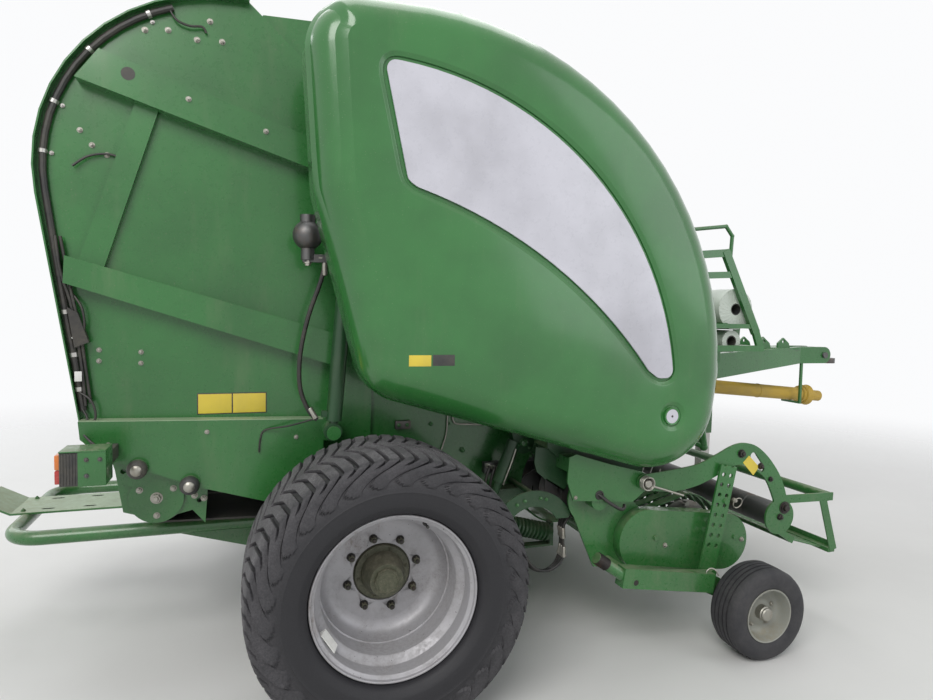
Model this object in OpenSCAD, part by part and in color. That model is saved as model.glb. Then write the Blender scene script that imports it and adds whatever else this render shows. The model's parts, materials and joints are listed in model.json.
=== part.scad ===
// Round baler with a variable bale chamber, a tailgate that swings up,
// moulded side covers, a tined pick-up and a towing drawbar.
// X points forwards, Y to the machine's left and Z up. The ground is at Z = 0.
// Outlines are given in X and Z, with X = 0 at the main axle; at_frame()
// moves every piece so that the middle of the machine's length is at X = 0.

/* [Main wheels] */
// Radius of a main tyre
tyre_r = 510; // [500:1:520]
// Width of a main tyre
tyre_w = 500; // [460:5:510]
// Number of lugs round one shoulder of a main tyre
lug_count = 30; // [24:1:32]
// Angle by which a lug leans from the tyre's middle to its shoulder
lug_sweep = 14; // [8:1:16]
// Distance of a main tyre's middle from the machine's middle
track_half = 1080; // [1080:5:1140]
// Radius of the rim's lip
rim_r = 298.5; // [290:0.5:305]
// Width of the rim from lip to lip
rim_w = 406; // [380:1:430]
// How far the wheel disc stands inboard of the tyre's middle
disc_inset = 49; // [30:1:60]
// Radius of the bore in the wheel disc
disc_bore_r = 110.5; // [108:0.5:116]
// Radius of the circle of wheel studs
stud_circle_r = 137.5; // [134:0.5:142]
// Number of wheel studs
stud_count = 8; // [6:1:10]
// Radius of a wheel stud
stud_r = 11; // [9:0.5:12]
// Radius of the wheel hub
hub_r = 104; // [98:1:106]

/* [Axle] */
// Side of the square axle beam
axle_side = 120; // [100:5:130]
// Radius of the wheel spindle
spindle_r = 45; // [40:1:50]

/* [Chassis] */
// Inner half width between the chassis side plates
chassis_half = 612; // [608:1:614]
// Thickness of a chassis side plate
chassis_t = 10; // [6:1:12]
// Height of the lower side beams
beam_h = 100; // [80:5:104]
// Width of the lower side beams
beam_w = 80; // [60:5:90]
// Underside of the lower side beams
beam_z = 600; // [590:1:605]

/* [Tailgate] */
// Place of the tailgate's hinge ahead of the axle
hinge_x = -180; // [-185:1:-175]
// Height of the tailgate's hinge
hinge_z = 2440; // [2435:1:2445]
// Radius of the hinge tube
hinge_r = 40; // [35:1:45]
// Inner half width between the tailgate's side plates
tail_half = 640; // [638:1:644]
// Thickness of a tailgate side plate
tail_t = 10; // [8:1:12]
// Radius of the tailgate's round back
tail_r = 697; // [690:1:700]
// How far ribs and the lower panel stand proud of the side plates
rib_depth = 66; // [50:1:70]
// Width of the turned edge round a side plate
lip_w = 36; // [25:1:45]
// Thickness of sheet-metal edges and covers
sheet = 6; // [4:1:8]

/* [Rollers and belts] */
// Radius of the two large rollers at the tailgate's foot
foot_roller_r = 112; // [106:1:114]
// Radius of the small rollers
small_roller_r = 60; // [55:1:62]
// Thickness of the belts
belt_t = 8; // [6:1:10]
// Number of belts
belt_count = 3; // [2:1:4]
// Gap between two belts
belt_gap = 24; // [15:1:30]
// Half width of the band of belts
belt_half = 590; // [570:1:596]
// Radius of a roller's shaft end
shaft_r = 20; // [15:1:24]

/* [Tailgate cylinders] */
// Distance of the cylinders' middle from the outer faces of the chassis plates
ram_y = 170; // [166:1:173]
// Outer radius of the barrel
ram_r = 32; // [28:1:34]
// Radius of the piston rod
ram_rod_r = 20; // [16:1:22]
// Radius of the pins at both ends
ram_pin_r = 18; // [15:1:20]
// Length of the barrel from its lower pin to the gland
ram_barrel_l = 700; // [660:5:740]

/* [Side covers] */
// Distance of a cover's inner edge from the machine's middle
cover_in = 930; // [925:1:945]
// Distance of a cover's outer face from the machine's middle
cover_out = 1190; // [1180:1:1200]
// Radius of the cover's rounded edge
cover_round = 130; // [110:1:140]
// Wall thickness of the cover
cover_t = 8; // [6:1:10]
// Distance of the cover's hinge line from the machine's middle
door_hinge_y = 760; // [755:1:770]
// Height of the cover's hinge line
door_hinge_z = 2560; // [2555:1:2570]
// Radius of the cover's hinge pins
door_pin_r = 12; // [10:1:14]
// Width of the groove round the pale panel
groove_w = 16; // [10:1:22]
// Depth of the recess that holds the pale panel
recess = 10; // [8:1:12]

/* [Pick-up] */
// Place of the feed rotor and of the pick-up's pivot ahead of the axle
rotor_x = 960; // [955:1:965]
// Height of the feed rotor
rotor_z = 700; // [695:1:705]
// Radius over the feed rotor's tines
rotor_r = 190; // [180:1:195]
// Radius of the feed rotor's tube
rotor_tube_r = 70; // [60:1:75]
// Number of feed rotor stars
star_count = 11; // [8:1:13]
// Radius of the augers beside the feed rotor
auger_r = 130; // [110:1:140]
// Half width between the pick-up's side plates
pick_half = 930; // [925:1:935]
// Place of the tine reel ahead of the axle
reel_x = 1490; // [1485:1:1495]
// Height of the tine reel
reel_z = 480; // [478:1:486]
// Radius of the tine tips
tine_tip_r = 248; // [235:1:252]
// Radius of the stripper bands
band_r = 190; // [180:1:195]
// Width of a stripper band
band_w = 46; // [40:1:50]
// Distance from one stripper band to the next
band_pitch = 68; // [66:1:70]
// Number of stripper bands
band_count = 27; // [25:2:27]
// Number of tine bars
tine_bars = 5; // [4:1:6]
// Radius of the circle of tine bars
tine_bar_circle = 140; // [120:1:150]
// Radius of one tine's wire
tine_r = 3.5; // [3:0.25:4]
// How far the round shields stand out from the pick-up's side plates
shield_out = 54; // [48:1:56]

/* [Gauge wheels] */
// Radius of a gauge wheel
gauge_r = 205; // [200:1:210]
// Width of a gauge wheel
gauge_w = 165; // [150:1:170]
// Distance of a gauge wheel's middle from the inner side of its arm
gauge_y = 120; // [118:1:130]
// Place of the gauge wheels ahead of the axle
gauge_x = 1679; // [1675:1:1690]

/* [Crop guard] */
// How far the crop guard's arms stand outboard of the intake walls' inner faces
guard_y = 15; // [14:1:18]
// Thickness of an arm
guard_t = 10; // [8:1:12]
// Radius of the crop guard's roller
guard_roller_r = 60; // [50:1:70]
// Number of bars in the crop guard's comb
comb_count = 38; // [30:1:44]

/* [Bale kicker] */
// Distance of the kicker's tubes from the machine's middle
kick_half = 390; // [380:1:400]
// Height of the kicker's tubes
kick_z = 546; // [542:1:548]
// Radius of the kicker's tubes
kick_r = 30; // [26:1:31]
// Radius of the bend in the kicker's tube
kick_bend = 130; // [110:5:150]
// Width of the flat strip on the kicker
strip_w = 257; // [230:1:270]

/* [Drawbar] */
// Place of the drawbar pin ahead of the axle
draw_pin_x = 3200; // [3190:1:3210]
// Height of the drawbar pin
draw_pin_z = 1270; // [1260:1:1280]
// Radius of the towing eye's hole
eye_r = 25; // [20:0.5:26]
// Side of the parking jack's outer tube
jack_side = 80; // [70:1:90]
// Distance of the parking jack from the machine's middle
jack_y = 300; // [295:1:310]
// Place of the parking jack ahead of the axle
jack_x = 2560; // [2550:1:2580]

/* [Drive shaft] */
// Radius of the drive shaft's guard tube
guard_tube_r = 44; // [38:1:48]
// Radius of the gearbox's input shaft
input_r = 17.5; // [15:0.5:19]

/* [Net rolls] */
// Radius of the upper net roll
net_r = 110; // [100:1:116]
// Radius of the lower net roll
net_low_r = 60; // [50:1:62]
// Length of a net roll
net_l = 1190; // [1150:5:1200]
// Radius of the core's hole in a net roll
net_core_r = 30; // [24:1:34]

/* [Hidden] */
$fn = 48;
clear = 0.1;
hull_fn = 32;
belt_fn = 24;
draw_head_y = 60;
// Underside of the platform's rails
platform_z = 1330;
// Gearbox input, and the drive shaft's tilt as it lies on its rest
input_p = [2035, 1092];
shaft_tilt = 5.2;
rest_x = 3010;
rest_w = 16;
rest_z = input_p.y - (rest_x + rest_w - input_p.x) * tan(shaft_tilt) - guard_tube_r / cos(shaft_tilt) - clear;
front_x = draw_pin_x + 180;
rear_x = -1600;
mid_x = (front_x + rear_x) / 2;

// Outside faces of the side plates
chassis_out = chassis_half + chassis_t;
ram_mid = chassis_out + ram_y;
tail_out = tail_half + tail_t;
rib_out = tail_out + rib_depth;

// Tailgate outline: centre of the round back, foot of the back, top front corner
tail_c = [-529, 2018];
tail_foot = [-1079, 1008];
tail_top = [-480, 2715];
// Bottom edge of the tailgate, from rear to front
tail_bottom = [[-1006, 936], [-928, 905], [-660, 797], [-421, 726], [-190, 718], [12, 718]];
// Front edge of the tailgate, from bottom to top
tail_front = [[22, 1120], [10, 1320], [-150, 2010], [-120, 2400]];
foot_dx = tail_foot.x - tail_c.x;
foot_dz = tail_foot.y - tail_c.y;
// Angle at which the straight back leaves the round one
tangent_a = 180 + atan2(-foot_dz, -foot_dx) - acos(tail_r / norm([foot_dx, foot_dz]));

// Rollers of the tailgate: x, z, radius
foot_roller = [-829, 753, foot_roller_r];
TAIL_ROLLERS = [
    foot_roller,
    [-1000, 1830, small_roller_r],
    [-900, 2330, small_roller_r],
    [-620, 2590, small_roller_r],
    [-125, 728, foot_roller_r - 4]
];
// Fixed rollers at the front of the chamber: x, z, radius
FRONT_ROLLERS = [
    [330, 790, 100],
    [600, 900, 80],
    [890, 1090, 80],
    [1010, 1330, small_roller_r],
    [700, 2280, small_roller_r]
];
// Cross beams of the tailgate: x, z, tilt
TAIL_BEAMS = [
    [-1078, 2348, 59],
    [-1118, 1590, 81],
    [-1036, 1075, 81]
];
// Sprockets of the roller drive: x, z, radius
CHAIN_WHEELS = [[890, 1090, 96], [600, 900, 96]];
beam_cut_w = 70;
beam_cut_h = 50;

// Middles of the net rolls, in X and Z
net_p = [2005, 1555];
net_low_p = [1985, 1382];

// Intake walls, the crop guard's pivot and the pins that carry rotor and pick-up
wall_y = pick_half + 74;
wall_t = 10;
guard_pivot = [1167, 778];
bearing_r = 38;

// Pick-up: side plates, gauge wheel arms, front edge of the deck, thickness of a band
pick_t = 12;
shield_face = pick_half + pick_t + shield_out;
guard_in = wall_y + guard_y;
gauge_arm_y = wall_y + 56;
gauge_mid = gauge_arm_y + gauge_y;
deck_x = 1255;
band_t = 5;
guard_roll = [1936, 557];

// Tailgate cylinder pins, in X and Z
ram_low = [-161, 1015];
ram_top = [-76, 2150];
ram_l = norm(ram_top - ram_low);
ram_tilt = atan2(ram_top.x - ram_low.x, ram_top.y - ram_low.y);
ram_eye_w = 36;
ear_gap = 6;

// Cover outline as lobes: x, z, radius. The front is one large arc.
cover_arc_c = [131, 1278];
cover_arc_r = 1341;
cover_lobe_r = 300;
COVER_LOBES = concat(
    [[-110, cover_arc_c.y + cover_arc_r - 199, 190], [-72, 1960, 198], [75, 1350, 184],
        [cover_arc_c.x + cover_arc_r - 317, 1170, cover_lobe_r]],
    [for (a = [0:15:90]) [cover_arc_c.x + (cover_arc_r - cover_lobe_r) * cos(a),
        cover_arc_c.y + (cover_arc_r - cover_lobe_r) * sin(a), cover_lobe_r]]
);
cover_face_t = 22;
// Places of a cover's hinges, and how far their lugs reach inboard of the hinge line
HINGE_X = [150, 720];
lug_reach = 28;
// Height of the cover's top edge at a place on its front arc
function cover_top(x) = cover_arc_c.y + sqrt(cover_arc_r * cover_arc_r - pow(x - cover_arc_c.x, 2));

// Accumulators, lamps, and the routes of hose and harness
accu = [-266, 1798];
accu_y = 815;
lamp_y = 960;
hose_r = 9;
harness_r = 13;
HARNESS_END = [for (p = [[-1160, 1700], [-1132, 1500], [-1108, 1340], [-1076, 1110]])
    [p.x, -tail_out - harness_r, p.y]];
HOSE_POINTS = [[-200, -815, 1690], [-215, -812, 1620], [-262, -808, 1480], [-292, -806, 1330],
    [-292, -804, 1200], [-260, -802, 1110], [-225, -802, 1068]];

// Kicker: its pivot and the place of its rear end
kick_pivot = [-140, kick_z];
kick_end_x = -1425;
kick_rear = kick_end_x + kick_bend;

module at_frame() translate([-mid_x, 0, 0]) children();

module both_sides() {
    children();
    mirror([0, 1, 0]) children();
}

module left_side() mirror([0, 1, 0]) children();

// A plate cut to a drawing in X and Z, from y0 to y1
module plate(y0, y1) translate([0, y1, 0]) rotate([90, 0, 0]) linear_extrude(y1 - y0) children();

// A round bar along Y from y0 to y1
module bar_y(x, z, r, y0, y1) translate([x, y0, z]) rotate([-90, 0, 0]) cylinder(h = y1 - y0, r = r);

// A round bar from one point to another
module rod(p, q, r) {
    d = q - p;
    l = norm(d);
    translate(p) rotate([0, acos(d.z / l), atan2(d.y, d.x)]) cylinder(h = l, r = r);
}

// A flat bar in the XZ plane from p to q, as wide as h, from y0 to y1
module strut(p, q, h, y0, y1) {
    d = q - p;
    translate([p.x, y0, p.y]) rotate([0, -atan2(d.y, d.x), 0])
        translate([0, 0, -h / 2]) cube([norm(d), y1 - y0, h]);
}

// A box from one corner to the opposite one
module block(a, b) translate(a) cube(b - a);

module mark(x, z, r) translate([x, z]) circle(r = r);

function arc_points(c, r, a0, a1, n) =
    [for (i = [0:n]) let (a = a0 + (a1 - a0) * i / n) [c.x + r * cos(a), c.y + r * sin(a)]];

// Main frame and axle
module chassis_frame() at_frame() color("forestgreen") {
    both_sides() {
        block([-150, -chassis_out - 10 - beam_w, beam_z],
            [750, -chassis_out - 10, beam_z + beam_h]);
        block([-60, -chassis_out - 10 - beam_w, 510 + axle_side / 2],
            [60, -chassis_out - 10, beam_z]);
        block([60, -chassis_out - 10, beam_z], [180, -chassis_out, beam_z + beam_h]);
    }
    block([200, -chassis_half, beam_z], [290, chassis_half, beam_z + 80]);
    block([180, -chassis_out - 10, beam_z], [200, chassis_out + 10, beam_z + 80]);
    both_sides() for (x = [420, 680])
        block([x, -chassis_out - 10, beam_z + 10], [x + 60, -chassis_out, beam_z + beam_h - 10]);
}

module axle() at_frame() color("darkgreen") {
    block([-axle_side / 2, -870, tyre_r - axle_side / 2], [axle_side / 2, 870, tyre_r + axle_side / 2]);
    both_sides() bar_y(0, tyre_r, spindle_r, -1115, -870);
    // Ears that carry the kicker's pin
    both_sides() for (y = [-kick_half - 60, -kick_half + 42])
        difference() {
            plate(y, y + 18) union() {
                mark(kick_pivot.x, kick_pivot.y, 42);
                polygon([[-axle_side / 2, 462], [-axle_side / 2, 560],
                    [kick_pivot.x, kick_pivot.y + 42], [kick_pivot.x, kick_pivot.y - 42]]);
            }
            bar_y(kick_pivot.x, kick_pivot.y, 15, y - 1, y + 19);
        }
    both_sides() bar_y(kick_pivot.x, kick_pivot.y, 15 - clear, -kick_half - 60, -kick_half + 60);
}

module chassis_outline() polygon([[-50, beam_z], [-50, 1240], [-215, 1960], [-225, 2330],
    [-465, 2560], [-430, 2690], [-150, 2700], [250, 2640], [650, 2500], [980, 2260],
    [1200, 1960], [1320, 1620], [1380, 1290], [1380, 1010], [1180, 950], [1010, 900],
    [800, beam_z]]);

module chamber_sides() at_frame() color("green") both_sides() {
    difference() {
        plate(-chassis_out, -chassis_half) difference() {
            chassis_outline();
            mark(rotor_x, rotor_z, rotor_r + 12);
        }
        bar_y(hinge_x, hinge_z, hinge_r - clear, -chassis_out - 1, -chassis_half + 1);
        block([180, -chassis_out - 1, beam_z - 1], [200, -chassis_half + 1, beam_z + 80]);
    }
}

// Boss and ear beside the cylinder's upper eye, and the block between them
module ram_ears() at_frame() color("green") both_sides() {
    plate(-ram_mid + ram_eye_w / 2 + ear_gap, -chassis_out) ear_outline();
    plate(-ram_mid - ram_eye_w / 2 - ear_gap - 12, -ram_mid - ram_eye_w / 2 - ear_gap) ear_outline();
}

module ram_ear_blocks() at_frame() color("green") both_sides()
    block([ram_top.x + 95, -ram_mid - ram_eye_w / 2 - ear_gap, ram_top.y - 55],
        [ram_top.x + 135, -ram_mid + ram_eye_w / 2 + ear_gap, ram_top.y + 55]);

module ear_outline() difference() {
    union() {
        mark(ram_top.x, ram_top.y, 40);
        polygon([[ram_top.x, ram_top.y - 40], [ram_top.x, ram_top.y + 40],
            [ram_top.x + 135, ram_top.y + 60], [ram_top.x + 135, ram_top.y - 60]]);
    }
    mark(ram_top.x, ram_top.y, ram_pin_r);
}

// Top and front sheets of the chamber, the hinge tube and the front beam
module front_housing() at_frame() color("green") {
    bar_y(hinge_x, hinge_z, hinge_r - clear, -tail_out - 12, tail_out + 12);
    plate(-chassis_half, chassis_half) polygon([[180, 2640], [250, 2640], [650, 2500], [980, 2260],
        [1200, 1960], [1320, 1620], [1320 - sheet, 1610], [1196 - sheet, 1950], [975 - sheet, 2250],
        [646, 2500 - 2 * sheet], [250, 2640 - sheet], [180, 2640 - sheet]]);
    block([1260, -chassis_half, 1090], [1380, chassis_half, 1290]);
    // Net binding box with its sloping lid
    plate(-chassis_half, chassis_half) polygon([[1380, 1330], [1380, 1290], [1250, 1290], [1250, 1560],
        [1290, 1700], [1330, 1880], [1500, 1850], [1580, 1850], [1790, 1620], [1790, 1330]]);
}

module cover_hinge_rails() at_frame() color("darkgreen") both_sides() {
    y_in = -door_hinge_y + lug_reach;
    for (post = [[60, 2600], [860, 2380]]) {
        block([post.x - 30, y_in, post.y - 30], [post.x + 30, -chassis_out, post.y + 30]);
        block([post.x - 30, y_in, min(post.y, door_hinge_z) - 30],
            [post.x + 30, y_in + 20, max(post.y, door_hinge_z) + 30]);
    }
    block([30, y_in, door_hinge_z - 25], [890, y_in + 30, door_hinge_z + 17]);
    for (x = HINGE_X) {
        for (x_lug = [x - 52, x + 32])
            block([x_lug, -door_hinge_y - 22, door_hinge_z - 22], [x_lug + 20, y_in, door_hinge_z + 22]);
        translate([x - 56, -door_hinge_y, door_hinge_z]) rotate([0, 90, 0]) cylinder(h = 112, r = door_pin_r);
    }
}

module chamber_rollers() at_frame() color("dimgray") for (p = FRONT_ROLLERS) {
    bar_y(p.x, p.y, p.z, -chassis_half + 10, chassis_half - 10);
    bar_y(p.x, p.y, shaft_r, -chassis_half, chassis_half);
}

// A closed band round rollers, given as x, z, radius
module belt_loop(rollers) difference() {
    hull() for (p = rollers) mark(p.x, p.y, p.z / cos(180 / belt_fn) + belt_t);
    hull() for (p = rollers) mark(p.x, p.y, p.z / cos(180 / belt_fn));
}

module belts(rollers) {
    w = (2 * belt_half - (belt_count - 1) * belt_gap) / belt_count;
    for (i = [0:belt_count - 1])
        plate(-belt_half + i * (w + belt_gap), -belt_half + i * (w + belt_gap) + w)
            belt_loop(rollers, $fn = belt_fn);
}

module front_belts() at_frame() color("black") belts([FRONT_ROLLERS[3], FRONT_ROLLERS[4]]);

// Roller drive behind the left cover: two sprockets and their chain
module roller_chain() at_frame() color("saddlebrown") left_side() {
    for (p = CHAIN_WHEELS) {
        plate(-chassis_out - 28, -chassis_out - 18) translate([p.x, p.y]) polygon([for (i = [0:47])
            (p.z - (i % 2 == 0 ? 5 : 18)) * [cos(i * 7.5), sin(i * 7.5)]]);
        bar_y(p.x, p.y, 40, -chassis_out - 34, -chassis_out);
    }
    plate(-chassis_out - 32, -chassis_out - 14) difference() {
        hull() for (p = CHAIN_WHEELS) mark(p.x, p.y, p.z + 6);
        hull() for (p = CHAIN_WHEELS) mark(p.x, p.y, p.z - 8);
    }
}

// Fixed side walls of the intake, with the beams and bearing pins on them
module intake_walls() at_frame() color("green") {
    both_sides() {
        plate(-wall_y - wall_t, -wall_y) polygon([[801, 905], [834, 916], [1007, 862],
            [1161, 822], [1205, 790], [1195, 745], [1120, 690], [826, 716], [795, 800]]);
        bar_y(guard_pivot.x, guard_pivot.y, 16, -guard_in - guard_t - 14, -wall_y);
        block([800, -wall_y, 840], [860, -chassis_out, 900]);
        bar_y(rotor_x, rotor_z, bearing_r, -wall_y, -pick_half + 50);
    }
    // Rear wall and floor of the feed channel
    plate(-chassis_half, chassis_half) intersection() {
        difference() {
            mark(rotor_x, rotor_z, rotor_r + 26);
            mark(rotor_x, rotor_z, rotor_r + 18);
        }
        polygon([[rotor_x, rotor_z], [rotor_x - 420, rotor_z + 60], [rotor_x - 420, rotor_z - 420],
            [rotor_x + 60, rotor_z - 420]]);
    }
    block([rotor_x - rotor_r - 90, -chassis_half, beam_z + 10], [rotor_x - rotor_r - 22, chassis_half, beam_z + 70]);
}

// Knife bank's lifting cylinders, springs and curved guards beside the side beams
module knife_gear() at_frame() color("darkgreen") both_sides() {
    beam_face = -chassis_out - 10 - beam_w;
    lift_y = chassis_out + 123;
    spring_y = chassis_out + 78;
    arc_y = pick_half - 25;
    rod([662, -lift_y, 930], [590, -lift_y, 745], 32);
    rod([590, -lift_y, 745], [560, -lift_y, 668], 18);
    plate(-lift_y - 20, -lift_y + 20) difference() {
        union() {
            mark(700, 925, 52);
            polygon([[660, 890], [740, 890], [760, 980], [640, 980]]);
        }
        mark(700, 925, 12);
    }
    block([672, -lift_y - 45, 960], [760, -chassis_out, 990]);
    block([540, -lift_y - 20, 640], [580, beam_face, 680]);
    // Curved guard on its stay
    plate(-arc_y - 8, -arc_y) intersection() {
        difference() {
            mark(688, 540, 202);
            mark(688, 540, 132);
        }
        polygon([[560, 610], [560, 760], [900, 760], [860, 610]]);
    }
    bar_y(700, 716, 12, -arc_y, -chassis_out);
    // Spring in its hanger
    translate([672, -spring_y, 524]) rotate([0, 105, 0]) rotate_extrude() polygon(concat([[0, 0]],
        [for (i = [0:9]) each [[44, 4 + i * 20], [44, 10 + i * 20], [34, 15 + i * 20], [34, 19 + i * 20]]],
        [[34, 212], [0, 212]]));
    block([655, -spring_y - 10, 408], [676, -spring_y + 40, beam_z]);
    block([872, -spring_y - 10, 408], [890, -spring_y + 40, 520]);
    block([655, -spring_y - 10, 408], [890, -spring_y + 40, 418]);
}

// Drawbar: two beams that meet at the head, with ears, jack tube and shaft rest
module drawbar() at_frame() color("limegreen") {
    both_sides() hull() {
        block([1380, -470, 1080], [1382, -390, 1268]);
        block([2990, -draw_head_y - 40, 1215], [2992, -draw_head_y, 1325]);
    }
    both_sides() difference() {
        plate(-draw_head_y - 40, -draw_head_y) union() {
            mark(draw_pin_x, draw_pin_z, 55);
            polygon([[2990, 1215], [2990, 1325], [draw_pin_x, draw_pin_z + 55], [draw_pin_x, draw_pin_z - 55]]);
        }
        bar_y(draw_pin_x, draw_pin_z, 20, -draw_head_y - 41, -draw_head_y + 1);
    }
    block([2600, -120, 1310], [2960, 120, 1322]);
    block([2560, -180, 1218], [2640, 180, 1310]);
    block([1880, -330, 1190], [1960, 330, 1250]);
    both_sides() block([2100, -310, 1240], [2160, -240, platform_z]);
    // Ears on top of the head
    for (x = [2690, 2850]) for (y = [-100, 76])
        difference() {
            plate(y, y + 14) polygon([[x - 50, 1322], [x - 50, 1350], [x - 5, 1385], [x + 40, 1350], [x + 50, 1322]]);
            bar_y(x - 5, 1360, 11, y - 1, y + 15);
        }
    // Outer tube of the parking jack on the left beam
    difference() {
        block([jack_x - jack_side / 2, jack_y - jack_side / 2, 700],
            [jack_x + jack_side / 2, jack_y + jack_side / 2, 1420]);
        block([jack_x - jack_side / 2 + 6, jack_y - jack_side / 2 + 6, 699],
            [jack_x + jack_side / 2 - 6, jack_y + jack_side / 2 - 6, 1412]);
    }
    block([jack_x - 60, 140, 1225], [jack_x + 60, jack_y - jack_side / 2, 1300]);
    translate([jack_x, jack_y, 1420]) cylinder(h = 22, r = 14);
    // Rest for the drive shaft
    block([rest_x, -draw_head_y - 34, rest_z - 14], [rest_x + rest_w, -draw_head_y - 20, 1225]);
    block([rest_x, -draw_head_y - 34, rest_z - 14], [rest_x + rest_w, 62, rest_z]);
    block([rest_x, 50, rest_z - 14], [rest_x + rest_w, 62, rest_z + 60]);
}

module towing_eye() at_frame() color("dimgray") {
    difference() {
        union() {
            plate(-draw_head_y, draw_head_y) polygon([[draw_pin_x - 90, draw_pin_z - 50],
                [draw_pin_x - 90, draw_pin_z + 50], [draw_pin_x + 60, draw_pin_z + 50],
                [draw_pin_x + 80, draw_pin_z - 25], [draw_pin_x + 80, draw_pin_z - 60]]);
            translate([draw_pin_x + 120, 0, draw_pin_z - 60]) cylinder(h = 34, r = 60);
            block([draw_pin_x + 40, -45, draw_pin_z - 60], [draw_pin_x + 120, 45, draw_pin_z - 26]);
        }
        translate([draw_pin_x + 120, 0, draw_pin_z - 61]) cylinder(h = 36, r = eye_r);
    }
    bar_y(draw_pin_x, draw_pin_z, 20, -draw_head_y - 52, draw_head_y + 52);
}

// Gearbox between the drawbar's beams, with its input shaft
module gearbox() at_frame() color("darkslategray") {
    block([1700, -150, 950], [1900, 150, 1180]);
    translate([1900, 0, input_p.y]) rotate([0, 90, 0]) cylinder(h = 60, r = 85);
    translate([1960, 0, input_p.y]) rotate([0, 90, 0]) cylinder(h = 110, r = input_r);
    both_sides() bar_y(1790, 1070, 30, -450, -150);
    both_sides() bar_y(1790, 1070, 70, -170, -150);
    block([1380, -60, 1100], [1700, 60, 1160]);
}

// Drive shaft laid on its rest: rear yoke, guard tube, cones and front yoke
module drive_shaft() at_frame() color("goldenrod") {
    difference() {
        translate([input_p.x - 20, 0, input_p.y]) rotate([0, 90, 0]) cylinder(h = 90, r = 36);
        translate([input_p.x - 21, 0, input_p.y]) rotate([0, 90, 0]) cylinder(h = 57, r = input_r);
    }
    translate([input_p.x, 0, input_p.y]) rotate([0, 90 + shaft_tilt, 0]) difference() {
        union() {
            translate([0, 0, 50]) cylinder(h = 62, r = 36);
            translate([0, 0, 110]) cylinder(h = 90, r1 = 74, r2 = guard_tube_r);
            translate([0, 0, 200]) cylinder(h = 850, r = guard_tube_r);
            translate([0, 0, 1050]) cylinder(h = 80, r1 = guard_tube_r, r2 = 70);
            translate([0, 0, 1130]) cylinder(h = 110, r = 36);
        }
        translate([0, 0, 1180]) cylinder(h = 61, r = input_r);
    }
}

// Rails and bars round the net rolls
module platform_rails() at_frame() color("seagreen") {
    y0 = -chassis_half - 28;
    y1 = -chassis_half - 4;
    rail_y = (y0 + y1) / 2;
    difference() {
        union() {
            both_sides() {
                strut([1550, 1814], [1905, 1850], 40, y0 + 3, y1 - 3);
                strut([1890, 1862], [2115, 1430], 44, y0, y1);
                strut([2105, 1460], [2150, platform_z + 16], 40, y0 + 3, y1 - 3);
                strut([1550, 1714], [1960, 1738], 34, y0 + 3, y1 - 3);
                strut([1570, 1465], [2085, 1465], 24, y0 + 3, y1 - 3);
                block([1535, y0 + 1, 1640], [1565, -chassis_half, 1970]);
                block([1560, y0 + 1, 1450], [1600, -chassis_half, 1480]);
                block([1560, y0 + 1, platform_z], [2170, -chassis_half, platform_z + 32]);
                // Hand rail
                rod([1550, rail_y, 1942], [1891, rail_y, 1988], 10);
                translate([1891, rail_y, 1988]) sphere(r = 11);
                rod([1891, rail_y, 1988], [1933, rail_y, 1940], 10);
                translate([1933, rail_y, 1940]) sphere(r = 11);
                rod([1933, rail_y, 1940], [1925, rail_y, 1790], 10);
            }
            // Cross bars that carry the rolls
            for (x = [net_p.x - 88, net_p.x + 88])
                block([x - 15, y1 - 8, net_p.y - 103], [x + 15, 8 - y1, net_p.y - 73]);
            for (x = [net_low_p.x - 50, net_low_p.x + 50])
                block([x - 13, -chassis_half - 10, platform_z + 2], [x + 13, chassis_half + 10, platform_z + 25]);
        }
        bar_y(net_p.x, net_p.y, net_r, -net_l / 2 - 1, net_l / 2 + 1);
        bar_y(net_low_p.x, net_low_p.y, net_low_r, -net_l / 2 - 1, net_l / 2 + 1);
    }
    block([1790, -chassis_half, platform_z], [1830, chassis_half, platform_z + 28]);
    block([1800, -chassis_half - 10, platform_z + 2], [1825, chassis_half + 10, platform_z + 26]);
    block([2110, -chassis_half - 10, platform_z], [2160, chassis_half + 10, platform_z + 28]);
    plate(-460, -440) polygon([[2130, 1350], [2130, 1560], [2230, 1610], [2230, 1570], [2170, 1530], [2155, 1350]]);
    // Hoops below the covers
    both_sides() {
        block([1380, -chassis_half, 1105], [1400, -565, 1155]);
        rod([1397, -590, 1130], [1560, -780, 1085], 20);
        translate([1560, -780, 1085]) sphere(r = 21.5);
        rod([1560, -780, 1085], [1640, -780, 1060], 20);
        translate([1640, -780, 1060]) sphere(r = 21.5);
        rod([1640, -780, 1060], [1680, -780, 860], 20);
        translate([1680, -780, 860]) sphere(r = 21.5);
        rod([1680, -780, 860], [1362, -642, 1034], 16);
        block([1330, -680, 996], [1378, -chassis_out, 1068]);
    }
}

module net_rolls() at_frame() color("whitesmoke") for (roll = [[net_p, net_r], [net_low_p, net_low_r]])
    difference() {
        bar_y(roll[0].x, roll[0].y, roll[1], -net_l / 2, net_l / 2);
        both_sides() bar_y(roll[0].x, roll[0].y, net_core_r, -net_l / 2 - 1, -net_l / 2 + 120);
    }

module jack_leg() at_frame() color("silver") {
    in_side = jack_side - 12 - 2 * clear;
    block([jack_x - in_side / 2, jack_y - in_side / 2, 20], [jack_x + in_side / 2, jack_y + in_side / 2, 960]);
    block([jack_x - 110, jack_y - 90, 0], [jack_x + 110, jack_y + 90, 14]);
    translate([jack_x, jack_y, 14]) cylinder(h = 10, r = 60);
}

// Tailgate
module tail_outline() polygon(concat(
    [tail_top],
    arc_points(tail_c, tail_r, 90, tangent_a, 12),
    [tail_foot],
    tail_bottom,
    tail_front,
    [[-240, 2500]]
));

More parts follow.
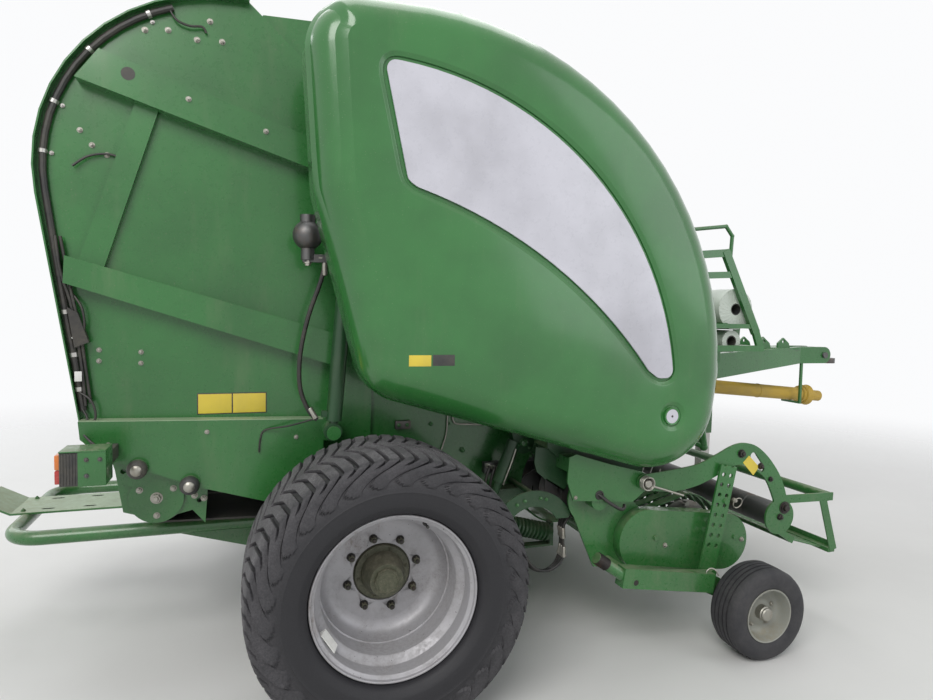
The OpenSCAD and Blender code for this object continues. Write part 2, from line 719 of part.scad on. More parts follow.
module tailgate_sides() at_frame() color("green") both_sides() {
    difference() {
        union() {
            plate(-tail_out, -tail_half) union() {
                tail_outline();
                mark(hinge_x, hinge_z, hinge_r + 32);
            }
            // Turned edge round the back
            plate(-tail_out - lip_w, -tail_out) difference() {
                polygon(concat([tail_top], arc_points(tail_c, tail_r, 90, tangent_a, 12), [tail_foot, [-900, 1700]]));
                polygon(concat([tail_top - [-60, 6]], arc_points(tail_c, tail_r - 6, 90, tangent_a, 12),
                    [tail_foot + [6, -10], [-800, 1000], [-400, 1700]]));
            }
            // Box ribs
            plate(-rib_out, -tail_out) polygon([[-1000, 2440], [-215, 2190], [-215, 2068], [-1080, 2330]]);
            plate(-rib_out, -tail_out) polygon([[-1120, 1688], [-60, 1388], [-60, 1250], [-1126, 1588]]);
            plate(-tail_out - 24, -tail_out) polygon([[-880, 2300], [-800, 2280], [-1000, 1650], [-1085, 1670]]);
            // Lower panel
            plate(-rib_out, -tail_out) polygon(concat([[-1085, 1075], tail_foot],
                [for (i = [0:4]) tail_bottom[i]], [[-190, 1055]]));
            bar_y(ram_low.x - 10, ram_low.y, 50, -rib_out, -tail_out);
        }
        bar_y(hinge_x, hinge_z, hinge_r, -tail_out - 1, -tail_half + 1);
        bar_y(ram_low.x, ram_low.y, ram_pin_r, -ram_mid - 40, -tail_out + 1);
    }
    // Pin that carries the cylinder's lower eye
    bar_y(ram_low.x, ram_low.y, ram_pin_r, -ram_mid - ram_eye_w / 2 - ear_gap - 16, -tail_out);
    bar_y(ram_low.x, ram_low.y, 28, -ram_mid - ram_eye_w / 2 - ear_gap - 18, -ram_mid - ram_eye_w / 2 - ear_gap);
    bar_y(ram_low.x, ram_low.y, 34, -ram_mid + ram_eye_w / 2 + ear_gap, -rib_out);
}

module tailgate_beams() at_frame() color("darkgreen")
    for (b = TAIL_BEAMS) translate([b.x, -tail_half, b.y]) rotate([0, -b.z, 0])
        translate([-beam_cut_w / 2, 0, -beam_cut_h / 2]) cube([beam_cut_w, 2 * tail_half, beam_cut_h]);

module tailgate_rollers() at_frame() color("dimgray") for (p = TAIL_ROLLERS) {
    bar_y(p.x, p.y, p.z, -belt_half - 10, belt_half + 10);
    bar_y(p.x, p.y, shaft_r, -tail_half, tail_half);
}

module tailgate_belts() at_frame() color("black") belts(TAIL_ROLLERS);

module roller_brackets() at_frame() color("green") both_sides() {
    plate(-tail_out - 12, -tail_out) difference() {
        polygon([[-985, 915], [-960, 825], [-700, 700], [-650, 640], [-640, 788]]);
        mark(foot_roller.x, foot_roller.y - 40, 118);
        mark(-945, 868, 10);
        mark(-672, 735, 10);
    }
    plate(-tail_half, -tail_half + 12) difference() {
        polygon([[-990, 975], [-985, 915], [-950, 700], [-829, 660], [-700, 690], [-640, 790], [-640, 850]]);
        mark(foot_roller.x, foot_roller.y, shaft_r);
    }
    for (p = [[-905, 850], [-690, 755]]) bar_y(p.x, p.y, 16, -tail_out, -tail_half);
    for (p = [[-885, 890], [-702, 816]]) bar_y(p.x, p.y, 36, -rib_out - 22, -rib_out);
    bar_y(foot_roller.x, foot_roller.y, 100, -tail_out - 6, -tail_out);
}

module accumulators() at_frame() color("darkslategray") both_sides() {
    translate([accu.x, -accu_y, accu.y]) {
        sphere(r = 58);
        cylinder(h = 78, r = 30);
        translate([0, 0, -96]) cylinder(h = 60, r = 26);
    }
    block([accu.x - 20, -accu_y + 40, accu.y - 16], [accu.x + 20, -tail_out, accu.y + 16]);
    block([accu.x + 15, -accu_y - 14, accu.y - 104], [accu.x + 75, -accu_y + 14, accu.y - 74]);
    block([accu.x - 20, -accu_y - 14, accu.y - 104], [accu.x + 20, -accu_y + 14, accu.y - 74]);
}

// Points of a smooth route through the given ones
function smooth(p, n) = [for (i = [0:len(p) - 2], k = [0:n - 1])
        let (a = p[max(i - 1, 0)], b = p[i], c = p[i + 1], d = p[min(i + 2, len(p) - 1)], t = k / n)
            0.5 * (2 * b + (c - a) * t + (2 * a - 5 * b + 4 * c - d) * t * t
                + (3 * b - a - 3 * c + d) * t * t * t),
    p[len(p) - 1]];

function unit(v) = v / norm(v);

// A tube swept along a route that lies nearly in an XZ plane
module swept_tube(p, r, sides) {
    n = len(p);
    rings = [for (i = [0:n - 1])
        let (t = unit(p[min(i + 1, n - 1)] - p[max(i - 1, 0)]), u = unit(cross(t, [0, 1, 0])), v = cross(t, u))
            for (k = [0:sides - 1]) p[i] + r * (cos(k * 360 / sides) * u + sin(k * 360 / sides) * v)];
    polyhedron(rings, concat(
        [[for (k = [0:sides - 1]) k]],
        [for (i = [0:n - 2], k = [0:sides - 1]) let (k2 = (k + 1) % sides)
            [i * sides + k, (i + 1) * sides + k, (i + 1) * sides + k2, i * sides + k2]],
        [[for (k = [sides - 1:-1:0]) (n - 1) * sides + k]]), convexity = 6);
}

// Hose from the valve to the cylinder, and the harness along the back edge
module tailgate_hoses() at_frame() color("black") both_sides() {
    swept_tube(concat([HOSE_POINTS[0] + [0, 0, 4]], smooth(HOSE_POINTS, 4)), hose_r, 10);
    swept_tube(concat([for (a = [110:6:188]) [tail_c.x + (tail_r - 30) * cos(a), -tail_out - harness_r,
        tail_c.y + (tail_r - 30) * sin(a)]], HARNESS_END), harness_r, 10);
}

// Rear lamps in green brackets
module lamp_boxes() at_frame() color("green") both_sides() {
    block([-1085, -lamp_y, 895], [-950, -lamp_y + 110, 1010]);
    block([-1000, -lamp_y + 110, 940], [-950, -rib_out, 990]);
}

module lamp_lenses() at_frame() color("orangered") both_sides() {
    block([-1103, -lamp_y + 6, 950], [-1085, -lamp_y + 104, 1002]);
    block([-1103, -lamp_y + 6, 903], [-1085, -lamp_y + 104, 949]);
}

// Tailgate cylinders
module ram_barrel() translate([ram_low.x, -ram_mid, ram_low.y]) rotate([0, ram_tilt, 0]) difference() {
    union() {
        rotate([90, 0, 0]) translate([0, 0, -ram_eye_w / 2]) cylinder(h = ram_eye_w, r = 36);
        translate([0, 0, 20]) cylinder(h = 40, r = ram_eye_w / 2 - 1);
        translate([0, 0, 46]) cylinder(h = ram_barrel_l - 46, r = ram_r);
        translate([0, 0, ram_barrel_l - 40]) cylinder(h = 40, r = ram_r + 5);
        translate([-ram_r - 20, -12, 60]) cube([40, 24, 24]);
    }
    rotate([90, 0, 0]) translate([0, 0, -ram_eye_w]) cylinder(h = 2 * ram_eye_w, r = ram_pin_r + clear);
    translate([0, 0, 120]) cylinder(h = ram_barrel_l, r = ram_rod_r + clear);
}

module ram_rod() translate([ram_low.x, -ram_mid, ram_low.y]) rotate([0, ram_tilt, 0]) {
    translate([0, 0, 130]) cylinder(h = ram_l - 130 - 24, r = ram_rod_r);
    translate([0, 0, ram_l]) rotate([90, 0, 0]) {
        translate([0, 0, -ram_eye_w / 2]) cylinder(h = ram_eye_w, r = 34);
        translate([0, 0, -ram_eye_w / 2 - 2]) cylinder(h = ram_eye_w + 4, r = ram_pin_r);
    }
}

module ram_barrel_right() at_frame() color("green") ram_barrel();
module ram_barrel_left() at_frame() color("green") left_side() ram_barrel();
module ram_rod_right() at_frame() color("silver") ram_rod();
module ram_rod_left() at_frame() color("silver") left_side() ram_rod();

// Side covers
module cover_solid(shrink, y_first, y_face) hull() {
    for (l = COVER_LOBES) {
        translate([l.x, -y_first, l.y]) rotate([90, 0, 0]) cylinder(h = 1, r = l.z - shrink, $fn = hull_fn);
        for (a = [0:30:90])
            translate([l.x, -y_face + cover_round * (1 - sin(a)), l.y]) rotate([-90, 0, 0])
                cylinder(h = 1, r = l.z - shrink - cover_round * (1 - cos(a)), $fn = hull_fn);
    }
}

module panel_outline() intersection() {
    difference() {
        mark(-53, 1138, cover_arc_r - 89, $fn = 120);
        mark(-430, 134, cover_arc_r + 526, $fn = 160);
    }
    polygon([[-66, 2400], [30, 1960], [1100, 1240], [1230, 1240], [1230, 2400]]);
}

module soft_panel(r) offset(r = r) offset(delta = -r) panel_outline();

module cover() {
    difference() {
        cover_solid(0, cover_in, cover_out);
        cover_solid(cover_t, cover_in - 5, cover_out - cover_face_t);
        translate([0, -cover_out + recess, 0]) rotate([90, 0, 0]) linear_extrude(recess + 5) soft_panel(48, $fn = 24);
        translate([1180, -cover_out + recess, 1096]) rotate([90, 0, 0]) cylinder(h = recess + 5, r = 44);
    }
    for (x = HINGE_X) difference() {
        union() {
            translate([x - 28, -door_hinge_y, door_hinge_z]) rotate([0, 90, 0]) cylinder(h = 56, r = 22);
            block([x - 28, -cover_in - 1, cover_top(x) - 54], [x + 28, -door_hinge_y - 28, cover_top(x) - 4]);
            intersection() {
                block([x - 28, -cover_in - 60, cover_top(x) - 54], [x + 28, -cover_in, cover_top(x) + 300]);
                cover_solid(cover_t / 2, cover_in, cover_out);
            }
            block([x - 28, -door_hinge_y - 50, min(cover_top(x) - 54, door_hinge_z - 22)],
                [x + 28, -door_hinge_y - 10, max(cover_top(x) - 4, door_hinge_z + 12)]);
        }
        translate([x - 29, -door_hinge_y, door_hinge_z]) rotate([0, 90, 0]) cylinder(h = 58, r = door_pin_r + clear);
    }
}

module cover_panel() {
    translate([0, -cover_out + recess, 0]) rotate([90, 0, 0]) linear_extrude(recess - 2)
        offset(delta = -groove_w) soft_panel(48, $fn = 24);
    translate([1180, -cover_out + recess, 1096]) rotate([90, 0, 0]) cylinder(h = recess - 2, r = 34);
}

module cover_right() at_frame() color("green") cover();
module cover_left() at_frame() color("green") left_side() cover();
module cover_panel_right() at_frame() color("lavender") cover_panel();
module cover_panel_left() at_frame() color("lavender") left_side() cover_panel();

// Main wheels, drawn about Z with the outer face up
// Half section of the tyre from the middle to the bead: offset, radius, height of a lug
TYRE_SECTION = [[8, 496, 14], [204, 489, 14], [238, 466, 9], [250, 405, 0], [220, 318, 0],
    [190, 301, 0]];

// Angles over one lug's pitch, and whether the lug stands there
LUG_STEPS = [[0, 0], [0.12, 1], [0.86, 1]];

module tyre() translate([0, -track_half, tyre_r]) rotate([90, 0, 0]) {
    n = len(TYRE_SECTION);
    pitch = 360 / lug_count;
    columns = lug_count * len(LUG_STEPS);
    flat = 1 / cos(180 / columns);
    bead = [rim_w / 2 - 19, rim_r - 14];
    half = concat([for (p = TYRE_SECTION) [p.x * tyre_w / 500, p.y * tyre_r / 510, p.z]], [[bead.x, bead.y * flat + 0.1, 0]]);
    sides = concat(
        [for (i = [0:n]) [half[i].x, half[i].y, half[i].z, 0]],
        [for (i = [n:-1:0]) [-half[i].x, half[i].y, half[i].z, pitch / 2]]);
    rings = [for (i = [0:columns - 1], p = sides)
        let (lug = LUG_STEPS[i % len(LUG_STEPS)], reach = 250 - min(abs(p.x), 250),
            step = p.y < rim_r ? i / len(LUG_STEPS) * pitch : (floor(i / len(LUG_STEPS)) + lug.x) * pitch + p[3],
            turn = step + reach * lug_sweep / 250 - (p.y < 480 ? (480 - max(p.y, rim_r)) * 0.12 : 0),
            r = p.y + lug.y * p.z)
            [r * cos(turn), r * sin(turn), p.x + sign(p.x) * lug.y * (p.z == 9 ? 8 : 0)]];
    m = len(sides);
    polyhedron(rings, [for (i = [0:columns - 1], k = [0:m - 1])
        let (a = i * m, b = (i + 1) % columns * m, k2 = (k + 1) % m)
            each [[a + k, b + k, b + k2], [a + k, b + k2, a + k2]]], convexity = 10);
}

// Section of the rim, outer side first: offset, radius
module rim_section() {
    w = rim_w / 2;
    line = [[w, rim_r], [w - 12, rim_r], [w - 17, rim_r - 14], [w - 75, rim_r - 14], [w - 100, rim_r - 42],
        [-disc_inset - 24, rim_r - 42], [-disc_inset - 56, rim_r - 14], [-w + 17, rim_r - 14],
        [-w + 12, rim_r], [-w, rim_r]];
    polygon(concat([for (p = line) [p.y, p.x]],
        [for (i = [len(line) - 1:-1:0]) [line[i].y - 8, line[i].x]]));
}

module rim() translate([0, -track_half, tyre_r]) rotate([90, 0, 0]) difference() {
    union() {
        rotate_extrude($fn = 96) rim_section();
        translate([0, 0, -disc_inset - 14]) cylinder(h = 14, r = rim_r - 46);
    }
    translate([0, 0, -disc_inset - 20]) cylinder(h = 30, r = disc_bore_r);
    for (i = [0:stud_count - 1]) rotate([0, 0, i * 360 / stud_count + 15])
        translate([stud_circle_r, 0, -disc_inset - 20]) cylinder(h = 30, r = stud_r + 1);
}

module hub() translate([0, -track_half, tyre_r]) rotate([90, 0, 0]) {
    difference() {
        union() {
            translate([0, 0, -disc_inset - 14 - 24]) cylinder(h = 24, r = 165);
            translate([0, 0, -190]) cylinder(h = 190 - disc_inset + 6, r = hub_r);
            rotate_extrude() polygon([[0, -disc_inset], [84, -disc_inset], [80, -disc_inset + 30],
                [66, 22], [62, 40], [0, 40]]);
            translate([0, 0, 38]) cylinder(h = 16, r = 48, $fn = 8);
        }
        translate([0, 0, -191]) cylinder(h = 191 + 36, r = spindle_r + clear);
    }
    for (i = [0:stud_count - 1]) rotate([0, 0, i * 360 / stud_count + 15])
        translate([stud_circle_r, 0, -disc_inset - 30]) cylinder(h = 56, r = stud_r);
}

module tyre_right() at_frame() color("dimgray") tyre();
module tyre_left() at_frame() color("dimgray") left_side() tyre();
module rim_right() at_frame() color("silver") rim();
module rim_left() at_frame() color("silver") left_side() rim();
module hub_right() at_frame() color("darkgreen") hub();
module hub_left() at_frame() color("darkgreen") left_side() hub();

// Pick-up
module pickup_frame() at_frame() color("green") {
    both_sides() {
        difference() {
            plate(-pick_half - pick_t, -pick_half) union() {
                mark(rotor_x, rotor_z, 120);
                polygon([[870, 620], [975, 385], [1185, 372], [1200, 345], [1640, 340], [1690, 470],
                    [1560, 600], [1200, 640], [1070, 760]]);
            }
            bar_y(rotor_x, rotor_z, bearing_r + clear, -pick_half - pick_t - 1, -pick_half + 1);
            bar_y(reel_x, reel_z, 25, -pick_half - pick_t - 1, -pick_half + 1);
        }
        // Gauge wheel arm, its rear pivot, height bar and spindle
        strut([1020, 397], [1490, 319], 84, -gauge_arm_y - 60, -gauge_arm_y);
        plate(-gauge_arm_y - 24, -gauge_arm_y - 10) polygon([[1400, 300], [1400, 365], [1500, 350],
            [gauge_x + 30, gauge_r + 30], [gauge_x + 30, gauge_r - 25], [gauge_x - 25, gauge_r - 25]]);
        bar_y(gauge_x, gauge_r, 20, -gauge_mid - gauge_w / 2 + 26, -gauge_arm_y - 6);
        rod([900, -gauge_arm_y - 30, 490], [1050, -gauge_arm_y - 30, 385], 24);
        bar_y(1042, 400, 30, -gauge_arm_y - 25, -pick_half - pick_t / 2);
        difference() {
            strut([1502, 330], [1606, 830], 90, -gauge_arm_y + 10, -gauge_arm_y + 20);
            for (i = [0:8]) for (s = [-20, 20])
                bar_y(1530 + i * 9.6 + s, 465 + i * 46 - s * 0.2, 10, -gauge_arm_y + 9, -gauge_arm_y + 21);
        }
        bar_y(1520, 345, 16, -gauge_arm_y - 16, -gauge_arm_y + 15);
        bar_y(1592, 665, 12, -gauge_arm_y, -gauge_arm_y + 26);
    }
    bar_y(1150, 420, 38, -pick_half, pick_half);
    // Deck behind the bands
    plate(-pick_half, pick_half) polygon([[1212, 588], [deck_x, 598], [deck_x, 606], [1206, 597],
        [1165, 560], [1172, 554]]);
    block([deck_x - 55, -pick_half, 352], [deck_x - 15, pick_half, 392]);
}

module pickup_shields() at_frame() color("green") both_sides() {
    difference() {
        plate(-shield_face, -pick_half - pick_t) union() {
            mark(1212, 500, 140);
            mark(1640, 455, 133);
            polygon([[1226, 639], [1652, 587], [1625, 323], [1196, 361]]);
        }
        plate(-shield_face + sheet, -pick_half - pick_t + 1) union() {
            mark(1212, 500, 134);
            mark(1640, 455, 127);
            polygon([[1226, 633], [1652, 581], [1625, 329], [1196, 367]]);
        }
    }
    bar_y(1260, 508, 12, -shield_face - 8, -shield_face);
    bar_y(1700, 470, 10, -shield_face - 8, -shield_face);
    bar_y(1260, 508, 14, -shield_face + sheet, -pick_half - pick_t);
    bar_y(1560, 455, 14, -shield_face + sheet, -pick_half - pick_t);
}

// Middles of the stripper bands that fit between the side plates
BAND_Y = [for (i = [0:band_count - 1]) let (y = (i - (band_count - 1) / 2) * band_pitch)
    if (abs(y) + band_w / 2 < pick_half - 20) y];

module pickup_bands() at_frame() color("yellowgreen")
    for (y = BAND_Y)
        plate(y - band_w / 2, y + band_w / 2) {
            intersection() {
                difference() {
                    mark(reel_x, reel_z, band_r);
                    mark(reel_x, reel_z, band_r - band_t);
                }
                translate([reel_x, reel_z - band_r]) square([band_r, 2 * band_r]);
            }
            polygon([[deck_x, 600], [deck_x, 606], [reel_x, reel_z + band_r], [reel_x, reel_z + band_r - band_t]]);
            polygon([[deck_x - 15, 358], [deck_x - 15, 352], [reel_x, reel_z - band_r],
                [reel_x, reel_z - band_r + band_t]]);
        }

module tine_reel() at_frame() color("silver") translate([reel_x, 0, reel_z]) {
    bar_y(0, 0, 45, -pick_half + 12, pick_half - 12);
    bar_y(0, 0, 25 - clear, -pick_half - pick_t - 6, pick_half + pick_t + 6);
    for (s = [-1, 0, 1]) bar_y(0, 0, tine_bar_circle + 14, s * (pick_half - 50) - 4, s * (pick_half - 50) + 4);
    for (b = [0:tine_bars - 1]) rotate([0, b * 360 / tine_bars, 0]) {
        bar_y(0, tine_bar_circle, 12, -pick_half + 16, pick_half - 16);
        for (i = [0:len(BAND_Y) - 2]) let (y = BAND_Y[i] + band_pitch / 2)
            rod([0, y, tine_bar_circle], [38, y, sqrt(tine_tip_r * tine_tip_r - 38 * 38)], tine_r);
    }
}

// Gauge wheels, drawn about Z with the outer face up
module gauge_wheel() translate([gauge_x, -gauge_mid, gauge_r]) rotate([90, 0, 0]) difference() {
    w = gauge_w / 2;
    union() {
        rotate_extrude($fn = 72) polygon([[118, -w + 14], [130, -w + 4], [165, -w], [190, -w + 6],
            [gauge_r, -w + 26], [gauge_r, w - 26], [190, w - 6], [165, w], [130, w - 4], [118, w - 14]]);
        translate([0, 0, -w + 20]) cylinder(h = 2 * w - 40, r = 119);
    }
    translate([0, 0, 10]) cylinder(h = w, r = 96);
    translate([0, 0, -w - 1]) cylinder(h = w - 8, r = 96);
    translate([0, 0, -w - 1]) cylinder(h = 2 * w - 30, r = 20 + clear);
}

module gauge_wheel_right() at_frame() color("dimgray") gauge_wheel();
module gauge_wheel_left() at_frame() color("dimgray") left_side() gauge_wheel();

// Crop guard: curved arms, roller and comb
module guard_arm() difference() {
    union() {
        mark(guard_pivot.x, guard_pivot.y, 34);
        polygon([[1167, 812], [1290, 822], [1442, 840], [1550, 880], [1640, 918], [1706, 927], [1777, 909],
            [1851, 853], [1922, 767], [1975, 640], [1995, 570], [1960, 520], [1905, 545], [1893, 649],
            [1846, 739], [1784, 791], [1712, 823], [1649, 822], [1566, 786], [1447, 743], [1313, 725],
            [1167, 744]]);
        mark(guard_roll.x, guard_roll.y, 85);
    }
    mark(guard_pivot.x, guard_pivot.y, 16 + clear);
    mark(1690, 878, 14);
    hull() {
        mark(1762, 862, 18);
        mark(1812, 800, 18);
    }
}

module crop_guard() at_frame() color("green") {
    both_sides() {
        plate(-guard_in - guard_t, -guard_in) guard_arm();
        strut([1955, 640], [2270, 632], 40, -guard_in - guard_t + 1, -guard_in - 1);
        strut([2200, 650], [2292, 358], 42, -guard_in - guard_t + 2, -guard_in - 2);
    }
    bar_y(guard_roll.x, guard_roll.y, guard_roller_r, -guard_in - guard_t / 2, guard_in + guard_t / 2);
    bar_y(2246, 632, 24, -guard_in - guard_t / 2, guard_in + guard_t / 2);
    block([2262, -guard_in - guard_t / 2, 346], [2303, guard_in + guard_t / 2, 368]);
    block([2294, -guard_in - guard_t / 2, 350], [2300, guard_in + guard_t / 2, 394]);
    for (i = [0:comb_count - 1]) {
        y = (i - (comb_count - 1) / 2) * (2 * guard_in - 80) / (comb_count - 1);
        rod([2275, y, 357], [2012, y, 434], 5);
    }
    bar_y(2012, 434, 11, -guard_in - guard_t / 2, guard_in + guard_t / 2);
    both_sides() strut([1936, 490], [2030, 430], 30, -guard_in - guard_t + 1, -guard_in - 1);
}

// Feed rotor with its stars and side augers
module feed_rotor() at_frame() color("slategray") translate([rotor_x, 0, rotor_z]) {
    half = chassis_half - 14;
    auger_step = (pick_half - chassis_out - 128) / 2;
    difference() {
        bar_y(0, 0, rotor_tube_r, -pick_half + 8, pick_half - 8);
        both_sides() bar_y(0, 0, bearing_r + clear, -pick_half + 7, -pick_half + 52);
    }
    for (i = [0:star_count - 1])
        translate([0, (i - (star_count - 1) / 2) * 2 * half / star_count, 0]) rotate([0, i * 12, 0])
            plate(-6, 6) for (k = [0:3]) rotate(k * 90)
                polygon([[rotor_tube_r - 10, -46], [rotor_tube_r + 40, -34], [rotor_r, 18], [rotor_r - 14, 40],
                    [rotor_tube_r - 10, 46]]);
    both_sides() for (i = [0:2])
        translate([0, -chassis_out - 38 - i * auger_step, 0]) rotate([18, i * 120, 0]) rotate([90, 0, 0])
            difference() {
                cylinder(h = 8, r = auger_r);
                translate([0, 0, -1]) cylinder(h = 10, r = rotor_tube_r - 6);
            }
}

// Bale kicker: one bent tube with a flat strip across its end
module kicker() at_frame() color("green") {
    difference() {
        both_sides() {
            rod([kick_rear, -kick_half, kick_z], [kick_pivot.x, -kick_half, kick_z], kick_r);
            translate([kick_rear, -kick_half + kick_bend, kick_z]) rotate([0, 0, 180])
                rotate_extrude(angle = 90) translate([kick_bend, 0]) circle(r = kick_r);
            bar_y(kick_pivot.x, kick_pivot.y, 36, -kick_half - 38, -kick_half + 38);
        }
        both_sides() bar_y(kick_pivot.x, kick_pivot.y, 15 + clear, -kick_half - 39, -kick_half + 39);
    }
    bar_y(kick_end_x, kick_z, kick_r, -kick_half + kick_bend, kick_half - kick_bend);
    bar_y(-880, kick_z, kick_r - 2, -kick_half, kick_half);
    both_sides() plate(-kick_half - 8, -kick_half + 8)
        polygon([[-790, kick_z - 22], [-240, kick_z - 22], [-240, kick_z - 100], [-420, kick_z - 130]]);
    plate(-strip_w / 2, strip_w / 2) polygon([[rear_x, 636], [rear_x + 6, 644], [-1480, kick_z + kick_r + 5],
        [-860, kick_z + kick_r + 5], [-860, kick_z + kick_r - 4], [-1484, kick_z + kick_r - 4]]);
}

chassis_frame();
axle();
chamber_sides();
ram_ears();
ram_ear_blocks();
front_housing();
cover_hinge_rails();
chamber_rollers();
front_belts();
roller_chain();
intake_walls();
knife_gear();
drawbar();
towing_eye();
gearbox();
drive_shaft();
platform_rails();
net_rolls();
jack_leg();
tailgate_sides();
tailgate_beams();
tailgate_rollers();
tailgate_belts();
roller_brackets();
accumulators();
tailgate_hoses();
lamp_boxes();
lamp_lenses();
ram_barrel_right();
ram_barrel_left();
ram_rod_right();
ram_rod_left();
cover_right();
cover_left();
cover_panel_right();
cover_panel_left();
tyre_right();
tyre_left();
rim_right();
rim_left();
hub_right();
hub_left();
pickup_frame();
pickup_shields();
pickup_bands();
tine_reel();
gauge_wheel_right();
gauge_wheel_left();
crop_guard();
feed_rotor();
kicker();
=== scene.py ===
import json
from math import atan2, cos, degrees, pi, radians, sin, sqrt, tau

import bmesh
import bpy
from mathutils import Matrix, Vector, geometry


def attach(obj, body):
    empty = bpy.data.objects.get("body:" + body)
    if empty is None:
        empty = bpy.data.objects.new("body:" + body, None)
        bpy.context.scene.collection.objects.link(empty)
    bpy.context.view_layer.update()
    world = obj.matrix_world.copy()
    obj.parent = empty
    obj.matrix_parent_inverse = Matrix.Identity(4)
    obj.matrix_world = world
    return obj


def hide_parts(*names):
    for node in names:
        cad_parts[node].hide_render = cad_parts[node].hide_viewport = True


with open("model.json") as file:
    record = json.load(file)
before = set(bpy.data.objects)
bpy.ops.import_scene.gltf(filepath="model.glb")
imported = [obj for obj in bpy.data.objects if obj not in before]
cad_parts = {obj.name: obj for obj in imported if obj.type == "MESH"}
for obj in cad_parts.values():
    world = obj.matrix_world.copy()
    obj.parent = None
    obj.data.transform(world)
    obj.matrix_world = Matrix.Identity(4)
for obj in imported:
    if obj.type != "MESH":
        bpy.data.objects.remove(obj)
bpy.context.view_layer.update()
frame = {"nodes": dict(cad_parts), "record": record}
NODES = frame["nodes"]

# Middle of the machine's length ahead of the main axle, in metres. Places below
# are given with X = 0 at the axle, as in the part's source, and moved by this.
MID_X = 0.89


def at(x, y, z):
    return Vector((x - MID_X, y, z))


# Camera: place, right, up and forward as solved from the photograph
camera_data = bpy.data.cameras.new("camera")
camera = bpy.data.objects.new("camera", camera_data)
bpy.context.collection.objects.link(camera)
camera_data.sensor_fit = "HORIZONTAL"
camera_data.sensor_width = 36.0
camera_data.lens = 24.69
camera_data.clip_end = 200.0
CAM_RIGHT = Vector((0.94639, -0.32243, 0.01982))
CAM_UP = Vector((0.00002, 0.06142, 0.99811))
CAM_BACK = Vector((-0.32304, -0.9446, 0.05813))
camera.matrix_world = Matrix.Translation((-1.3768, -3.4043, 1.5082)) @ Matrix(
    (CAM_RIGHT, CAM_UP, CAM_BACK)
).transposed().to_4x4()
bpy.context.scene.camera = camera


# ---------------------------------------------------------------- materials
class Nodes:
    """A short way to build a material's node tree."""

    def __init__(self, name):
        self.material = bpy.data.materials.new(name)
        self.material.use_nodes = True
        self.tree = self.material.node_tree
        self.shader = self.tree.nodes["Principled BSDF"]
        self.coord = self.add("ShaderNodeTexCoord").outputs["Object"]

    def add(self, kind, **inputs):
        node = self.tree.nodes.new(kind)
        for key, value in inputs.items():
            self.put(node, key.replace("_", " "), value)
        return node

    def put(self, node, key, value):
        socket = node.inputs[key]
        if isinstance(value, bpy.types.NodeSocket):
            self.tree.links.new(value, socket)
        else:
            socket.default_value = value

    def noise(self, scale, detail=4.0, rough=0.55, stretch=None):
        vector = self.coord
        if stretch:
            mapping = self.add("ShaderNodeMapping", Vector=vector)
            mapping.inputs["Scale"].default_value = stretch
            vector = mapping.outputs["Vector"]
        node = self.add("ShaderNodeTexNoise", Vector=vector, Scale=scale, Detail=detail, Roughness=rough)
        return node.outputs["Fac"]

    def ramp(self, value, low, high, out_low=0.0, out_high=1.0):
        node = self.add("ShaderNodeMapRange", Value=value, From_Min=low, From_Max=high, To_Min=out_low,
            To_Max=out_high)
        node.interpolation_type = "SMOOTHSTEP"
        return node.outputs["Result"]

    def math(self, operation, a, b=0.0):
        node = self.tree.nodes.new("ShaderNodeMath")
        node.operation = operation
        node.use_clamp = operation in ("MULTIPLY", "ADD")
        self.put(node, 0, a)
        self.put(node, 1, b)
        return node.outputs[0]

    def times(self, a, b):
        return self.math("MULTIPLY", a, b)

    def plus(self, a, b):
        return self.math("ADD", a, b)

    def mix(self, factor, a, b):
        node = self.tree.nodes.new("ShaderNodeMix")
        node.data_type = "RGBA"
        sockets = [s for s in node.inputs if s.name in ("A", "B") and s.type == "RGBA"]
        self.put(node, "Factor", factor)
        for socket, value in zip(sockets, (a, b)):
            if isinstance(value, bpy.types.NodeSocket):
                self.tree.links.new(value, socket)
            else:
                socket.default_value = (*value[:3], 1.0)
        return [s for s in node.outputs if s.type == "RGBA"][0]

    def normal_z(self):
        geometry_node = self.add("ShaderNodeNewGeometry")
        split = self.add("ShaderNodeSeparateXYZ", Vector=geometry_node.outputs["Normal"])
        return split.outputs["Z"]

    def height(self):
        return self.add("ShaderNodeSeparateXYZ", Vector=self.coord).outputs["Z"]

    def finish(self, *bumps, **inputs):
        """Sets the shader and stacks the bumps, given as (value, distance in metres)."""
        for key, value in inputs.items():
            self.put(self.shader, key.replace("_", " "), value)
        normal = None
        for value, distance in bumps:
            node = self.add("ShaderNodeBump", Height=value, Distance=distance, Strength=1.0)
            if normal is not None:
                self.tree.links.new(normal, node.inputs["Normal"])
            normal = node.outputs["Normal"]
        self.tree.links.new(normal, self.shader.inputs["Normal"])
        return self.material


DUST = (0.3, 0.27, 0.2)


